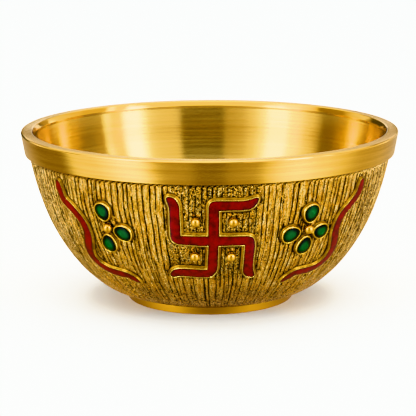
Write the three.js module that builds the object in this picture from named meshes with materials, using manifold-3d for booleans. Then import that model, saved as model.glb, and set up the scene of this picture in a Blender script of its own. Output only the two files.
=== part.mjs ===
// Brass puja bowl: a turned bowl with a wide rim band and a foot ring. Its wall
// carries raised cloison frames filled with red enamel (a swastik and two
// waves), two flowers of green enamel petals in bezel cups, and brass studs.
// Millimetres, +Z up. Origin: centre of the foot's resting face.
import * as THREE from "three";
import { mergeVertices } from "three/addons/utils/BufferGeometryUtils.js";
import Module from "manifold-3d";

const wasm = await Module();
wasm.setup();

// ---------------------------------------------------------------- dimensions
const RIM_R = 63.5; // outer radius at the top of the rim band
const HEIGHT = 57.8; // foot to rim
const RIM_INNER_R = 59.43; // mouth radius
const BAND_LOW_R = 61.7; // the band tapers to this radius at its lower edge
const BAND_LOW_Z = 50.2;
const LIP_R = 60.6; // outer radius of the shell's lip inside the band
const LIP_Z = 55.3;
const FIT = 0.3; // clearance between seated pieces
const FOOT_H = 2.68;
const FOOT_TOP_R = 28.73;
const FOOT_BASE_R = 28.22;
const SPIGOT_R = 24.9; // turned spigot that centres the foot ring
const SPIGOT_IN_R = 22.6;
const SPIGOT_Z = 1.5;
const UNDERSIDE_Z = FOOT_H + FIT;
const FLOOR_Z = 5.0; // inside floor of the bowl
const TURN_SEGS = 48; // steps round the turned pieces

const CREST_H = 0.85; // cloison crest above the wall
const ENAMEL_H = 0.6; // enamel surface above the wall
const SEAT_H = 0.3; // where the applied pieces start above the wall
const CREST_IN = 0.12; // from the enamel outline to the inside of the cloison
const CREST_OUT = 0.55; // ... to the outer edge of its crest
const BASE_OUT = 1.15; // ... to the foot of its outer bevel
const ENAMEL_IN = 0.1; // the enamel stays inside its outline by this

const STUD_R = 1.5; // ball studs and flower beads
const PIN_R = 0.6;
const PIN_HOLE_R = 0.9;
const PIN_DEPTH = 1.4;
const PIN_HOLE_DEPTH = 1.8;

// Outside of the wall, equal steps along the meridian from the band to the foot.
const WALL = [
  [60.5, 48.92], [59.53, 44.49], [58.4, 40.11], [57.06, 35.78], [55.55, 31.5],
  [53.78, 27.33], [51.7, 23.3], [49.36, 19.42], [46.77, 15.71], [43.84, 12.25],
  [40.52, 9.17], [36.98, 6.34], [33.0, 4.2], [28.73, 2.68],
];
const WALL_LEN = 58.92; // length of that meridian

// Swastik: place of its centre (degrees round the bowl, mm down the meridian)
// and the outline of its enamel, x to the right, y up, clockwise.
const SWASTIK_AT = [0.98, 18.0];
const SWASTIK = [
  [-1.24, 12.0], [-0.39, 13.48], [1.91, 13.82], [5.6, 13.75], [9.25, 13.67],
  [11.2, 14.0], [13.4, 14.6], [13.83, 14.14], [13.25, 12.55], [11.14, 11.03],
  [6.4, 10.82], [1.68, 10.76], [1.69, 6.2], [1.64, 1.58], [6.2, 1.49],
  [10.83, 1.34], [12.3, 0.55], [12.81, -1.14], [12.63, -6.01], [12.39, -10.64],
  [12.57, -12.44], [13.06, -14.71], [12.42, -15.3], [10.9, -14.9], [9.71, -13.45],
  [9.52, -11.5], [9.75, -6.6], [9.94, -1.68], [5.7, -1.67], [1.46, -1.74],
  [1.38, -6.2], [1.27, -10.44], [0.26, -13.54], [-2.29, -14.74], [-6.67, -14.55],
  [-10.5, -14.42], [-12.2, -15.1], [-12.95, -14.7], [-13.21, -13.83], [-12.4, -12.1],
  [-11.09, -11.45], [-6.67, -11.32], [-1.5, -11.5], [-1.45, -6.6], [-1.3, -1.66],
  [-5.9, -1.52], [-10.5, -1.25], [-12.2, -0.4], [-12.99, 1.38], [-13.2, 6.0],
  [-13.29, 10.56], [-13.75, 12.7], [-14.28, 14.4], [-13.6, 15.08], [-12.4, 14.85],
  [-11.18, 13.7], [-10.43, 11.35], [-10.2, 6.3], [-10.12, 1.64], [-5.7, 1.62],
  [-1.31, 1.62], [-1.35, 6.8],
];
const STUDS = [[-5.4, 6.87], [6.16, 6.75], [-5.61, -5.8], [5.54, -5.96]];

// Waves: centre line as [degrees, mm down the meridian, width of the enamel].
const WAVE_LEFT = [
  [-53.3, 1.9, 1.1], [-53.1, 3.3, 2.3], [-52.8, 6.0, 2.65], [-51.7, 8.6, 2.65],
  [-49.3, 10.4, 2.65], [-46.9, 12.6, 2.65], [-44.9, 15.4, 2.65], [-44.3, 18.5, 2.7],
  [-45.4, 22.2, 2.8], [-46.9, 25.4, 2.8], [-47.4, 28.7, 2.75], [-45.5, 31.7, 2.7],
  [-42.0, 33.6, 2.7], [-37.1, 34.4, 2.7], [-33.1, 34.9, 2.5], [-30.7, 36.1, 2.0],
  [-29.2, 37.4, 0.9],
];
const WAVE_RIGHT = [
  [54.4, 2.0, 1.0], [54.2, 3.2, 2.1], [53.9, 5.2, 2.4], [52.4, 7.7, 2.4],
  [49.9, 10.1, 2.4], [47.2, 12.7, 2.4], [45.9, 15.6, 2.4], [45.9, 18.8, 2.4],
  [47.3, 22.5, 2.4], [48.6, 26.2, 2.4], [48.0, 29.4, 2.4], [46.0, 31.7, 2.4],
  [42.9, 33.3, 2.4], [37.7, 33.8, 2.3], [33.6, 34.2, 2.2], [30.9, 35.9, 1.9],
  [29.3, 37.3, 0.9],
];

// Flowers: place of the bead; petals as [distance of the petal's centre from
// the bead, direction in degrees, length, width].
const FLOWER_LEFT = {
  at: [-34.07, 15.38],
  petals: [[5.45, 98, 5.7, 5.1], [5.35, -15.4, 5.65, 5.0], [6.04, 259, 6.2, 4.9]],
};
const FLOWER_RIGHT = {
  at: [32.94, 16.04],
  petals: [[5.53, 91.7, 5.8, 5.1], [6.2, 192, 5.7, 5.05], [5.25, -16.3, 5.6, 4.7], [6.03, 269, 6.2, 4.8]],
};
const PETAL_TAPER = 0.16; // the petal narrows towards the bead
const PETAL_SEGS = 12;
const BEZEL_WALL = 0.62; // width of the bezel's rim
const BEZEL_H = 1.15; // its height above the wall

// ------------------------------------------------------------------ wall maths
// Point and outward direction at s mm down the meridian.
function wallPoint(s) {
  const n = WALL.length;
  const t = Math.min(Math.max((s / WALL_LEN) * (n - 1), 0), n - 1 - 1e-9);
  const i = Math.floor(t);
  const w = t - i;
  const at = (k) =>
    k < 0
      ? [2 * WALL[0][0] - WALL[1][0], 2 * WALL[0][1] - WALL[1][1]]
      : k > n - 1
        ? [2 * WALL[n - 1][0] - WALL[n - 2][0], 2 * WALL[n - 1][1] - WALL[n - 2][1]]
        : WALL[k];
  const [p0, p1, p2, p3] = [at(i - 1), at(i), at(i + 1), at(i + 2)];
  const out = [0, 1].map(
    (c) =>
      0.5 *
      (2 * p1[c] + (p2[c] - p0[c]) * w + (2 * p0[c] - 5 * p1[c] + 4 * p2[c] - p3[c]) * w * w +
        (3 * p1[c] - p0[c] - 3 * p2[c] + p3[c]) * w * w * w),
  );
  const d = [0, 1].map(
    (c) =>
      0.5 *
      (p2[c] - p0[c] + 2 * (2 * p0[c] - 5 * p1[c] + 4 * p2[c] - p3[c]) * w +
        3 * (3 * p1[c] - p0[c] - 3 * p2[c] + p3[c]) * w * w),
  );
  const len = Math.hypot(d[0], d[1]);
  return { r: out[0], z: out[1], nr: -d[1] / len, nz: d[0] / len };
}

// Position at azimuth az (degrees, 0 = front, -Y), s down the meridian, h above the wall.
function onWall(az, s, h) {
  const p = wallPoint(s);
  const a = THREE.MathUtils.degToRad(az);
  const r = p.r + h * p.nr;
  return new THREE.Vector3(r * Math.sin(a), -r * Math.cos(a), p.z + h * p.nz);
}

// Position of (x right, y up) on a flat sheet wrapped on the wall round [az, s].
function wrap(at, x, y, h) {
  const s = at[1] - y;
  return onWall(at[0] + THREE.MathUtils.radToDeg(x / wallPoint(s).r), s, h);
}

// ------------------------------------------------------------- geometry helpers
function clean(geometry) {
  let g = geometry.clone();
  for (const name of Object.keys(g.attributes)) if (name !== "position") g.deleteAttribute(name);
  g = mergeVertices(g, 1e-4);
  // Drop faces that collapsed on the axis, and turn the faces outwards.
  const p = g.attributes.position;
  const idx = [];
  const a = new THREE.Vector3();
  const b = new THREE.Vector3();
  const c = new THREE.Vector3();
  let volume = 0;
  for (let i = 0; i < g.index.count; i += 3) {
    const [i0, i1, i2] = [g.index.getX(i), g.index.getX(i + 1), g.index.getX(i + 2)];
    if (i0 === i1 || i1 === i2 || i2 === i0) continue;
    idx.push(i0, i1, i2);
    a.fromBufferAttribute(p, i0);
    b.fromBufferAttribute(p, i1);
    c.fromBufferAttribute(p, i2);
    volume += a.dot(b.cross(c)) / 6;
  }
  if (volume < 0) for (let i = 0; i < idx.length; i += 3) [idx[i + 1], idx[i + 2]] = [idx[i + 2], idx[i + 1]];
  g.setIndex(idx);
  g.computeVertexNormals();
  return g;
}

// Profile of [radius, z] turned round the Z axis.
function turned(profile, segs = TURN_SEGS) {
  const g = new THREE.LatheGeometry(profile.map(([r, z]) => new THREE.Vector2(r, z)), segs);
  g.rotateX(Math.PI / 2);
  return clean(g);
}

function toSolid(geometry) {
  const g = clean(geometry);
  return new wasm.Manifold(
    new wasm.Mesh({
      numProp: 3,
      vertProperties: new Float32Array(g.attributes.position.array),
      triVerts: new Uint32Array(g.index.array),
    }),
  );
}

function fromSolid(solid) {
  const m = solid.getMesh();
  const g = new THREE.BufferGeometry();
  g.setAttribute("position", new THREE.BufferAttribute(new Float32Array(m.vertProperties), 3));
  g.setIndex(new THREE.BufferAttribute(new Uint32Array(m.triVerts), 1));
  return clean(g);
}

// A closed outline moved outwards by d, with mitred corners.
function offset(outline, d) {
  const n = outline.length;
  const area = outline.reduce((s, p, i) => s + p[0] * outline[(i + 1) % n][1] - outline[(i + 1) % n][0] * p[1], 0);
  const sign = area < 0 ? -1 : 1;
  return outline.map((p, i) => {
    const q = outline[(i + n - 1) % n];
    const r = outline[(i + 1) % n];
    const e1 = new THREE.Vector2(p[0] - q[0], p[1] - q[1]).normalize();
    const e2 = new THREE.Vector2(r[0] - p[0], r[1] - p[1]).normalize();
    const n1 = new THREE.Vector2(e1.y, -e1.x).multiplyScalar(sign);
    const n2 = new THREE.Vector2(e2.y, -e2.x).multiplyScalar(sign);
    const m = n1.clone().add(n2);
    const k = Math.min(2 / m.lengthSq(), 1.1);
    return [p[0] + m.x * d * k, p[1] + m.y * d * k];
  });
}

const shapeOf = (outline) => new THREE.Shape(outline.map((p) => new THREE.Vector2(p[0], p[1])));

// A flat plate cut to a shape, then wrapped on the wall by place(x, y, h).
// Points of its upper face that are listed in moves slide sideways first.
function plate(shape, h0, h1, place, moves = new Map()) {
  const g = clean(new THREE.ExtrudeGeometry(shape, { depth: 1, bevelEnabled: false, steps: 1 }));
  const p = g.attributes.position;
  for (let i = 0; i < p.count; i++) {
    let x = p.getX(i);
    let y = p.getY(i);
    const top = p.getZ(i) > 0.5;
    const to = top ? moves.get(`${x.toFixed(3)},${y.toFixed(3)}`) : undefined;
    if (to) [x, y] = to;
    const v = place(x, y, top ? h1 : h0);
    p.setXYZ(i, v.x, v.y, v.z);
  }
  return clean(g);
}

// Cloison: a ring round an enamel outline, upright inside, bevelled outside.
function cloison(outline, place) {
  const inner = offset(outline, CREST_IN).reverse(); // a hole runs the other way round
  const crest = offset(outline, CREST_OUT);
  const base = offset(outline, BASE_OUT);
  const shape = shapeOf(base);
  shape.holes.push(new THREE.Path(inner.map((p) => new THREE.Vector2(p[0], p[1]))));
  const moves = new Map(base.map((p, i) => [`${Math.fround(p[0]).toFixed(3)},${Math.fround(p[1]).toFixed(3)}`, crest[i]]));
  return plate(shape, SEAT_H, CREST_H, place, moves);
}

const enamel = (outline, place) => plate(shapeOf(offset(outline, -ENAMEL_IN)), SEAT_H, ENAMEL_H, place);

// Outline of a wave in (mm round the bowl at a reference radius, mm up).
const REF_R = 55;
function waveOutline(line) {
  const c = line.map(([az, s]) => [THREE.MathUtils.degToRad(az) * REF_R, -s]);
  const left = [];
  const right = [];
  for (let i = 0; i < c.length; i++) {
    const a = c[Math.max(i - 1, 0)];
    const b = c[Math.min(i + 1, c.length - 1)];
    // true direction on the wall, where a step round it shrinks with the radius
    const k = wallPoint(line[i][1]).r / REF_R;
    const t = new THREE.Vector2((b[0] - a[0]) * k, b[1] - a[1]).normalize();
    const w = line[i][2] / 2;
    left.push([c[i][0] - (t.y * w) / k, c[i][1] + t.x * w]);
    right.push([c[i][0] + (t.y * w) / k, c[i][1] - t.x * w]);
  }
  return [...left, ...right.reverse()];
}
const placeWave = (x, y, h) => onWall(THREE.MathUtils.radToDeg(x / REF_R), -y, h);

// A turned cup or dome stretched to a petal's outline and wrapped on the wall.
// Profile radii are distances from the petal's centre, with 1 at its outline
// for radii up to 1, and mm beyond the outline after that.
function petalPiece(flower, petal, profile) {
  const [dist, dir, length, width] = petal;
  const g = turned(profile, PETAL_SEGS);
  const p = g.attributes.position;
  const ca = Math.cos(THREE.MathUtils.degToRad(dir));
  const sa = Math.sin(THREE.MathUtils.degToRad(dir));
  for (let i = 0; i < p.count; i++) {
    const rho = Math.hypot(p.getX(i), p.getY(i));
    const th = Math.atan2(p.getY(i), p.getX(i));
    const k = Math.min(rho, 1);
    const beyond = Math.max(rho - 1, 0);
    const x = (length / 2) * k * Math.cos(th) + beyond * Math.cos(th);
    const y = ((width / 2) * k + beyond) * Math.sin(th) * (1 + PETAL_TAPER * Math.cos(th));
    const u = dist + x;
    const v = wrap(flower.at, u * ca - y * sa, u * sa + y * ca, p.getZ(i));
    p.setXYZ(i, v.x, v.y, v.z);
  }
  return clean(g);
}

// Ball stud with a pin; local +Z points away from the wall.
const studGeometry = turned(
  [
    [0, -PIN_DEPTH], [PIN_R, -PIN_DEPTH], [PIN_R, SEAT_H], [1.42, SEAT_H], [STUD_R, 0.85],
    [1.28, 1.6], [0.72, 2.15], [0, 2.35],
  ],
  10,
);

// Places an object on the wall, its +Z along the wall's outward direction.
function seat(object, az, s) {
  const p = wallPoint(s);
  object.position.copy(onWall(az, s, 0));
  const a = THREE.MathUtils.degToRad(az);
  object.quaternion.setFromUnitVectors(
    new THREE.Vector3(0, 0, 1),
    new THREE.Vector3(p.nr * Math.sin(a), -p.nr * Math.cos(a), p.nz),
  );
  return object;
}

// ------------------------------------------------------------------- materials
const brass = (name, color, roughness) => {
  const m = new THREE.MeshStandardMaterial({ color, roughness, metalness: 1.0 });
  m.name = name;
  return m;
};
const polishedBrass = brass("brushed_brass", 0xd9a441, 0.3);
const textureBrass = brass("antiqued_brass", 0xb98a2c, 0.45);
const brightBrass = brass("bright_brass", 0xe6b450, 0.22);
const redEnamel = new THREE.MeshStandardMaterial({ color: 0x8c0d08, roughness: 0.3, metalness: 0.0 });
redEnamel.name = "red_enamel";
const greenEnamel = new THREE.MeshStandardMaterial({ color: 0x06602b, roughness: 0.12, metalness: 0.0 });
greenEnamel.name = "green_enamel";

const bowl = new THREE.Group();
function add(name, geometry, material, parent = bowl) {
  const mesh = new THREE.Mesh(geometry, material.clone());
  mesh.name = name;
  parent.add(mesh);
  return mesh;
}

// ------------------------------------------------------------------ bowl_shell
// Places of the studs and beads: [degrees, mm down the meridian].
const studPlaces = STUDS.map(([x, y]) => {
  const s = SWASTIK_AT[1] - y;
  return [SWASTIK_AT[0] + THREE.MathUtils.radToDeg(x / wallPoint(s).r), s];
});
const pinPlaces = [...studPlaces, FLOWER_LEFT.at, FLOWER_RIGHT.at];

const outer = [];
for (const s of [0, 4.5, 9.1, 13.6, 18.1, 22.7, 27.2, 31.7, 36.3, 40.8, 45.3, 49.9, 54.4]) {
  const p = wallPoint(s);
  outer.push([p.r, p.z]);
}
const inside = [];
for (const [s, t] of [[54, 2.9], [48, 2.8], [42, 2.7], [36, 2.6], [29, 2.5], [22, 2.4], [14, 2.3], [6, 2.2]]) {
  const p = wallPoint(s);
  inside.push([p.r - t * p.nr, p.z - t * p.nz]);
}
const shellProfile = [
  [59.2, LIP_Z], [LIP_R, LIP_Z], [LIP_R, 49.4],
  ...outer,
  [29.3, UNDERSIDE_Z], [SPIGOT_R, UNDERSIDE_Z], [SPIGOT_R, SPIGOT_Z], [SPIGOT_IN_R, SPIGOT_Z],
  [SPIGOT_IN_R, UNDERSIDE_Z], [0, UNDERSIDE_Z],
];
const shellInside = [[0, FLOOR_Z - 0.1], [20, FLOOR_Z + 0.1], [28, FLOOR_Z + 0.9], ...inside, [59.2, LIP_Z]];
let shell = toSolid(turned([...shellProfile, ...shellInside]));
const holeGeometry = new THREE.CylinderGeometry(PIN_HOLE_R, PIN_HOLE_R, PIN_HOLE_DEPTH + 1, 10);
holeGeometry.rotateX(Math.PI / 2);
holeGeometry.translate(0, 0, (1 - PIN_HOLE_DEPTH) / 2);
for (const turn of [0, Math.PI]) {
  for (const [az, s] of pinPlaces) {
    const drill = seat(new THREE.Object3D(), az, s);
    drill.updateMatrix();
    const g = holeGeometry.clone().applyMatrix4(drill.matrix);
    g.rotateZ(turn);
    shell = shell.subtract(toSolid(g));
  }
}
add("bowl_shell", fromSolid(shell), textureBrass);

// ---------------------------------------------------------- rim_band, foot_ring
add(
  "rim_band",
  turned([
    [RIM_INNER_R, LIP_Z + FIT], [RIM_INNER_R, HEIGHT - 0.4], [RIM_INNER_R + 0.35, HEIGHT],
    [RIM_R - 0.55, HEIGHT], [RIM_R, HEIGHT - 0.5], [BAND_LOW_R, BAND_LOW_Z + 0.5],
    [BAND_LOW_R - 0.35, BAND_LOW_Z], [LIP_R + FIT, BAND_LOW_Z], [LIP_R + FIT, LIP_Z + FIT],
    [RIM_INNER_R, LIP_Z + FIT],
  ]),
  polishedBrass,
);
add(
  "foot_ring",
  turned([
    [SPIGOT_R + FIT, 0], [FOOT_BASE_R - 0.2, 0], [FOOT_BASE_R, 0.2], [FOOT_TOP_R, FOOT_H],
    [SPIGOT_R + FIT, FOOT_H], [SPIGOT_R + FIT, 0],
  ]),
  polishedBrass,
);

// -------------------------------------------------------------- applied pieces
const placeSwastik = (x, y, h) => wrap(SWASTIK_AT, x, y, h);
const made = {
  swastikFrame: cloison(SWASTIK, placeSwastik),
  swastikEnamel: enamel(SWASTIK, placeSwastik),
};
for (const [side, line] of [["left", WAVE_LEFT], ["right", WAVE_RIGHT]]) {
  const outline = waveOutline(line);
  made[`waveFrame_${side}`] = cloison(outline, placeWave);
  made[`waveEnamel_${side}`] = enamel(outline, placeWave);
}
// Bezel cup: floor and upright wall. Petal: a low dome seated on the floor.
const CUP = [
  [0, SEAT_H], [1 + CREST_IN + BEZEL_WALL, SEAT_H], [1 + CREST_IN + BEZEL_WALL, BEZEL_H - 0.2],
  [1 + CREST_IN + BEZEL_WALL * 0.7, BEZEL_H], [1 + CREST_IN, BEZEL_H], [1 + CREST_IN, SEAT_H + 0.2],
  [0, SEAT_H + 0.2],
];
const DOME = [[0, SEAT_H + 0.4], [0.97, SEAT_H + 0.4], [0.97, 0.82], [0.6, 1.1], [0, 1.22]];

for (const [face, turn] of [["front", 0], ["back", Math.PI]]) {
  const group = new THREE.Group();
  group.rotation.z = turn;
  bowl.add(group);
  add(`swastik_frame_${face}`, made.swastikFrame, brightBrass, group);
  add(`swastik_enamel_${face}`, made.swastikEnamel, redEnamel, group);
  studPlaces.forEach(([az, s], i) => {
    seat(add(`swastik_stud_${i + 1}_${face}`, studGeometry, brightBrass, group), az, s);
  });
  for (const [side, flower] of [["left", FLOWER_LEFT], ["right", FLOWER_RIGHT]]) {
    add(`wave_frame_${side}_${face}`, made[`waveFrame_${side}`], brightBrass, group);
    add(`wave_enamel_${side}_${face}`, made[`waveEnamel_${side}`], redEnamel, group);
    flower.petals.forEach((petal, i) => {
      add(`petal_bezel_${side}_${i + 1}_${face}`, petalPiece(flower, petal, CUP), brightBrass, group);
      add(`petal_enamel_${side}_${i + 1}_${face}`, petalPiece(flower, petal, DOME), greenEnamel, group);
    });
    seat(add(`flower_bead_${side}_${face}`, studGeometry, brightBrass, group), ...flower.at);
  }
}

export default bowl;
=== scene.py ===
# Brass puja bowl: the finished surfaces.
#
# A turned brass bowl with a wide rim band and a foot ring. The outside of the
# wall is cast with bark-like ridges and darkened in the grooves; raised cloison
# frames hold red enamel, bezel cups hold green enamel petals, and ball studs sit
# between them. Shapes are worked out in millimetres and stored in metres.

import math

import bpy
import numpy as np
from mathutils import Matrix, Vector, geometry, kdtree


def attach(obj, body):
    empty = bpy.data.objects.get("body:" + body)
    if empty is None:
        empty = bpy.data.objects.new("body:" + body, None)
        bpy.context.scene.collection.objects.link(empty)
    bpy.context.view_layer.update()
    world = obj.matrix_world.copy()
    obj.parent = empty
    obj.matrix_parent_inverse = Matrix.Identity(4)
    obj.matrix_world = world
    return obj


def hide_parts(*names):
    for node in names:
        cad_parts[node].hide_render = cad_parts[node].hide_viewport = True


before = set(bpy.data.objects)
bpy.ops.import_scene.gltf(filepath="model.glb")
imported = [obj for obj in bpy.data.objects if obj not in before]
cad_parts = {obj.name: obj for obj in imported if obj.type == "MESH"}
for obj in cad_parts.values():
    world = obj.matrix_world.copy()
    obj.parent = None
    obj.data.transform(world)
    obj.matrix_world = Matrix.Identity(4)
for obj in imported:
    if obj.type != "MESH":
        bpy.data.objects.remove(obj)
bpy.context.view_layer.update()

# ---------------------------------------------------------------- dimensions
RIM_R = 63.5
HEIGHT = 57.8
RIM_INNER_R = 59.43
BAND_LOW_R = 62.3
BAND_LOW_Z = 50.15
LIP_R = 60.6
LIP_Z = 55.3
FIT = 0.3
FOOT_H = 2.68
FOOT_TOP_R = 28.73
FOOT_BASE_R = 28.22
SPIGOT_R = 24.9
SPIGOT_IN_R = 22.6
SPIGOT_Z = 1.5
UNDERSIDE_Z = 2.98

CREST_H = 0.82  # cloison crest above the wall
WAVE_CREST_H = 0.72
STUD_R = 1.5
STUD_H = 0.85  # height of a ball's centre above the wall
PIN_R = 0.6
PIN_DEPTH = 1.4
SINK = -0.5  # applied pieces reach this far down between the ridges

# Outside of the wall, equal steps along the meridian from the band to the foot.
WALL = np.array([
    [60.5, 48.92], [59.53, 44.49], [58.4, 40.11], [57.06, 35.78], [55.55, 31.5],
    [53.78, 27.33], [51.7, 23.3], [49.36, 19.42], [46.77, 15.71], [43.84, 12.25],
    [40.52, 9.17], [36.98, 6.34], [33.0, 4.2], [28.73, 2.68],
])
WALL_LEN = 58.92

# Inside of the wall, from the middle of the floor to the lip.
INSIDE = [
    (0.0, 4.9), (6.0, 4.9), (12.0, 4.95), (17.0, 5.0), (22.0, 5.25), (28.0, 5.9), (32.14, 6.99),
    (36.72, 9.63), (41.11, 13.34), (44.85, 17.49), (48.65, 23.02), (51.87, 28.93), (54.75, 36.12),
    (57.0, 43.6), (58.07, 50.0), (58.98, LIP_Z),
]

# Swastik: place of its centre (degrees round the bowl, mm down the meridian)
# and the outline of its enamel, x to the right, y up, clockwise.
SWASTIK_AT = (0.98, 18.0)
SWASTIK = [
    (-1.24, 12.0), (-0.94, 12.88), (-0.39, 13.48), (0.55, 13.77), (1.91, 13.82), (4.34, 13.77), (6.79, 13.73),
    (9.25, 13.67), (10.48, 13.85), (11.73, 14.15), (12.98, 14.52), (13.6, 14.59), (13.83, 14.14), (13.68, 13.41),
    (13.25, 12.55), (12.32, 11.62), (11.14, 11.03), (9.27, 10.82), (5.58, 10.82), (1.68, 10.76), (1.68, 7.84),
    (1.7, 4.66), (1.64, 1.58), (4.42, 1.53), (6.89, 1.47), (9.38, 1.43), (10.83, 1.34), (11.85, 1.06),
    (12.5, 0.24), (12.81, -1.14), (12.83, -3.64), (12.63, -6.01), (12.46, -8.49), (12.39, -10.64), (12.57, -12.44),
    (12.9, -13.76), (13.06, -14.71), (12.42, -15.3), (11.37, -15.1), (10.38, -14.54), (9.71, -13.45), (9.52, -11.94),
    (9.65, -9.11), (9.81, -5.8), (9.94, -1.68), (6.92, -1.66), (4.44, -1.67), (1.46, -1.74), (1.47, -4.25),
    (1.34, -7.47), (1.27, -10.44), (0.94, -12.15), (0.26, -13.54), (-0.76, -14.55), (-2.29, -14.74), (-4.16, -14.76),
    (-6.67, -14.55), (-9.2, -14.39), (-10.8, -14.49), (-12.03, -15.0), (-12.8, -14.83), (-13.21, -13.83),
    (-12.91, -12.89), (-12.19, -11.97), (-11.09, -11.45), (-9.19, -11.25), (-6.67, -11.32), (-4.17, -11.48),
    (-1.5, -11.5), (-1.51, -7.44), (-1.34, -4.22), (-1.3, -1.66), (-4.17, -1.69), (-6.64, -1.47), (-9.13, -1.36),
    (-10.81, -1.2), (-11.94, -0.65), (-12.69, 0.28), (-12.99, 1.38), (-13.09, 3.34), (-13.23, 5.49), (-13.26, 7.96),
    (-13.29, 10.56), (-13.5, 11.88), (-13.86, 13.02), (-14.22, 14.02), (-14.21, 14.76), (-13.52, 15.05),
    (-12.66, 14.92), (-11.85, 14.48), (-11.18, 13.7), (-10.66, 12.67), (-10.43, 11.35), (-10.38, 9.47),
    (-10.22, 6.68), (-10.12, 1.64), (-7.25, 1.63), (-4.17, 1.62), (-1.31, 1.62), (-1.36, 4.69), (-1.33, 7.87),
    (-1.3, 10.29),
]
STUDS = [(-5.4, 6.87), (6.16, 6.75), (-5.61, -5.8), (5.54, -5.96)]

# Waves: centre line as (degrees, mm down the meridian, width of the enamel).
WAVE_LEFT = [
    (-53.0, 3.0, 2.2), (-53.0, 4.2, 2.9), (-52.7, 6.0, 2.95), (-51.7, 8.6, 2.9), (-49.3, 10.4, 2.85),
    (-46.9, 12.6, 2.85), (-44.9, 15.4, 2.85), (-44.3, 18.5, 2.95), (-45.4, 22.2, 3.05), (-46.9, 25.4, 3.05),
    (-47.4, 28.7, 2.95), (-45.5, 31.7, 2.85), (-42.0, 33.6, 2.8), (-37.1, 34.4, 2.8), (-33.1, 34.9, 2.6),
    (-30.7, 36.1, 2.1), (-29.2, 37.4, 0.9),
]
WAVE_RIGHT = [
    (53.3, 2.9, 2.0), (53.3, 4.0, 2.7), (53.1, 5.6, 2.8), (51.9, 7.7, 2.75), (49.6, 10.1, 2.7), (47.0, 12.7, 2.7),
    (45.8, 15.6, 2.75), (45.8, 18.8, 2.8), (47.1, 22.5, 2.8), (48.4, 26.2, 2.8), (47.9, 29.4, 2.75), (46.0, 31.7, 2.7),
    (42.9, 33.3, 2.7), (37.7, 33.8, 2.6), (33.6, 34.2, 2.4), (30.9, 35.9, 2.0), (29.3, 37.3, 0.9),
]

# Flowers: place of the bead; petals as (distance of the petal's centre from
# the bead, direction in degrees, length, width).
FLOWERS = {
    "left": ((-34.07, 15.38), [(5.45, 98, 5.7, 5.1), (5.35, -15.4, 5.65, 5.0), (6.04, 259, 6.2, 4.9)]),
    "right": ((32.94, 16.04), [(5.53, 91.7, 5.8, 5.1), (6.2, 192, 5.7, 5.05), (5.25, -16.3, 5.6, 4.7),
                               (6.03, 269, 6.2, 4.8)]),
}
PETAL_TAPER = 0.16
REF_R = 55.0  # radius at which the waves' outlines are drawn flat


# ------------------------------------------------------------------ wall maths
def wall(s):
    """Radius, height and outward normal s mm down the meridian."""
    s = np.asarray(s, float)
    n = len(WALL)
    pts = np.vstack([2 * WALL[0] - WALL[1], WALL, 2 * WALL[-1] - WALL[-2]])
    t = np.clip(s / WALL_LEN * (n - 1), 0, n - 1 - 1e-9)
    i = np.floor(t).astype(int)
    w = (t - i)[..., None]
    p0, p1, p2, p3 = pts[i], pts[i + 1], pts[i + 2], pts[i + 3]
    p = 0.5 * (2 * p1 + (p2 - p0) * w + (2 * p0 - 5 * p1 + 4 * p2 - p3) * w * w + (3 * p1 - p0 - 3 * p2 + p3) * w**3)
    d = 0.5 * (p2 - p0 + 2 * (2 * p0 - 5 * p1 + 4 * p2 - p3) * w + 3 * (3 * p1 - p0 - 3 * p2 + p3) * w * w)
    d = d / np.linalg.norm(d, axis=-1, keepdims=True)
    over = (s - t * WALL_LEN / (n - 1))[..., None]
    p = p + d * over
    return p[..., 0], p[..., 1], -d[..., 1], d[..., 0]


def on_wall(az, s, h):
    """Points at azimuth az (degrees, 0 = front), s down the meridian, h above the wall."""
    r, z, nr, nz = wall(s)
    a = np.radians(az)
    rr = r + h * nr
    return np.stack([rr * np.sin(a), -rr * np.cos(a), z + h * nz + 0 * a], -1)


def wrap(at, x, y, h):
    """Points of a sheet (x right, y up) wrapped on the wall round at."""
    s = at[1] - np.asarray(y, float)
    return on_wall(at[0] + np.degrees(np.asarray(x, float) / wall(s)[0]), s, h)


def place_wave(x, y, h):
    return on_wall(np.degrees(np.asarray(x, float) / REF_R), -np.asarray(y, float), h)


def wave_scale(y):
    return wall(-np.asarray(y, float))[0] / REF_R


# ------------------------------------------------------------------- randomness
def lattice(rng, na, ns):
    return rng.uniform(-1, 1, (na, ns))


def smooth_field(rng, a, s, pitch_a, pitch_s, s0=-4.0, s1=64.0):
    """Smooth noise on (angle in turns, mm down the wall), periodic round the bowl."""
    na = max(4, int(round(2 * math.pi * 60 / pitch_a)))
    ns = max(4, int((s1 - s0) / pitch_s) + 3)
    g = lattice(rng, na, ns)
    u = np.mod(a, 1.0) * na
    v = np.clip((s - s0) / pitch_s, 0, ns - 2.001)
    i, j = np.floor(u).astype(int), np.floor(v).astype(int)
    fu, fv = u - i, v - j
    fu, fv = fu * fu * (3 - 2 * fu), fv * fv * (3 - 2 * fv)
    i0, i1 = i % na, (i + 1) % na
    return (g[i0, j] * (1 - fu) * (1 - fv) + g[i1, j] * fu * (1 - fv) + g[i0, j + 1] * (1 - fu) * fv
            + g[i1, j + 1] * fu * fv)


def smooth_line(rng, s, pitch, s0=-4.0, s1=64.0):
    n = int((s1 - s0) / pitch) + 4
    g = rng.uniform(-1, 1, n)
    v = np.clip((s - s0) / pitch, 0, n - 2.001)
    j = np.floor(v).astype(int)
    f = v - j
    f = f * f * (3 - 2 * f)
    return g[j] * (1 - f) + g[j + 1] * f


def ramp(x, a, b):
    t = np.clip((np.asarray(x, float) - a) / (b - a), 0, 1)
    return t * t * (3 - 2 * t)


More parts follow.
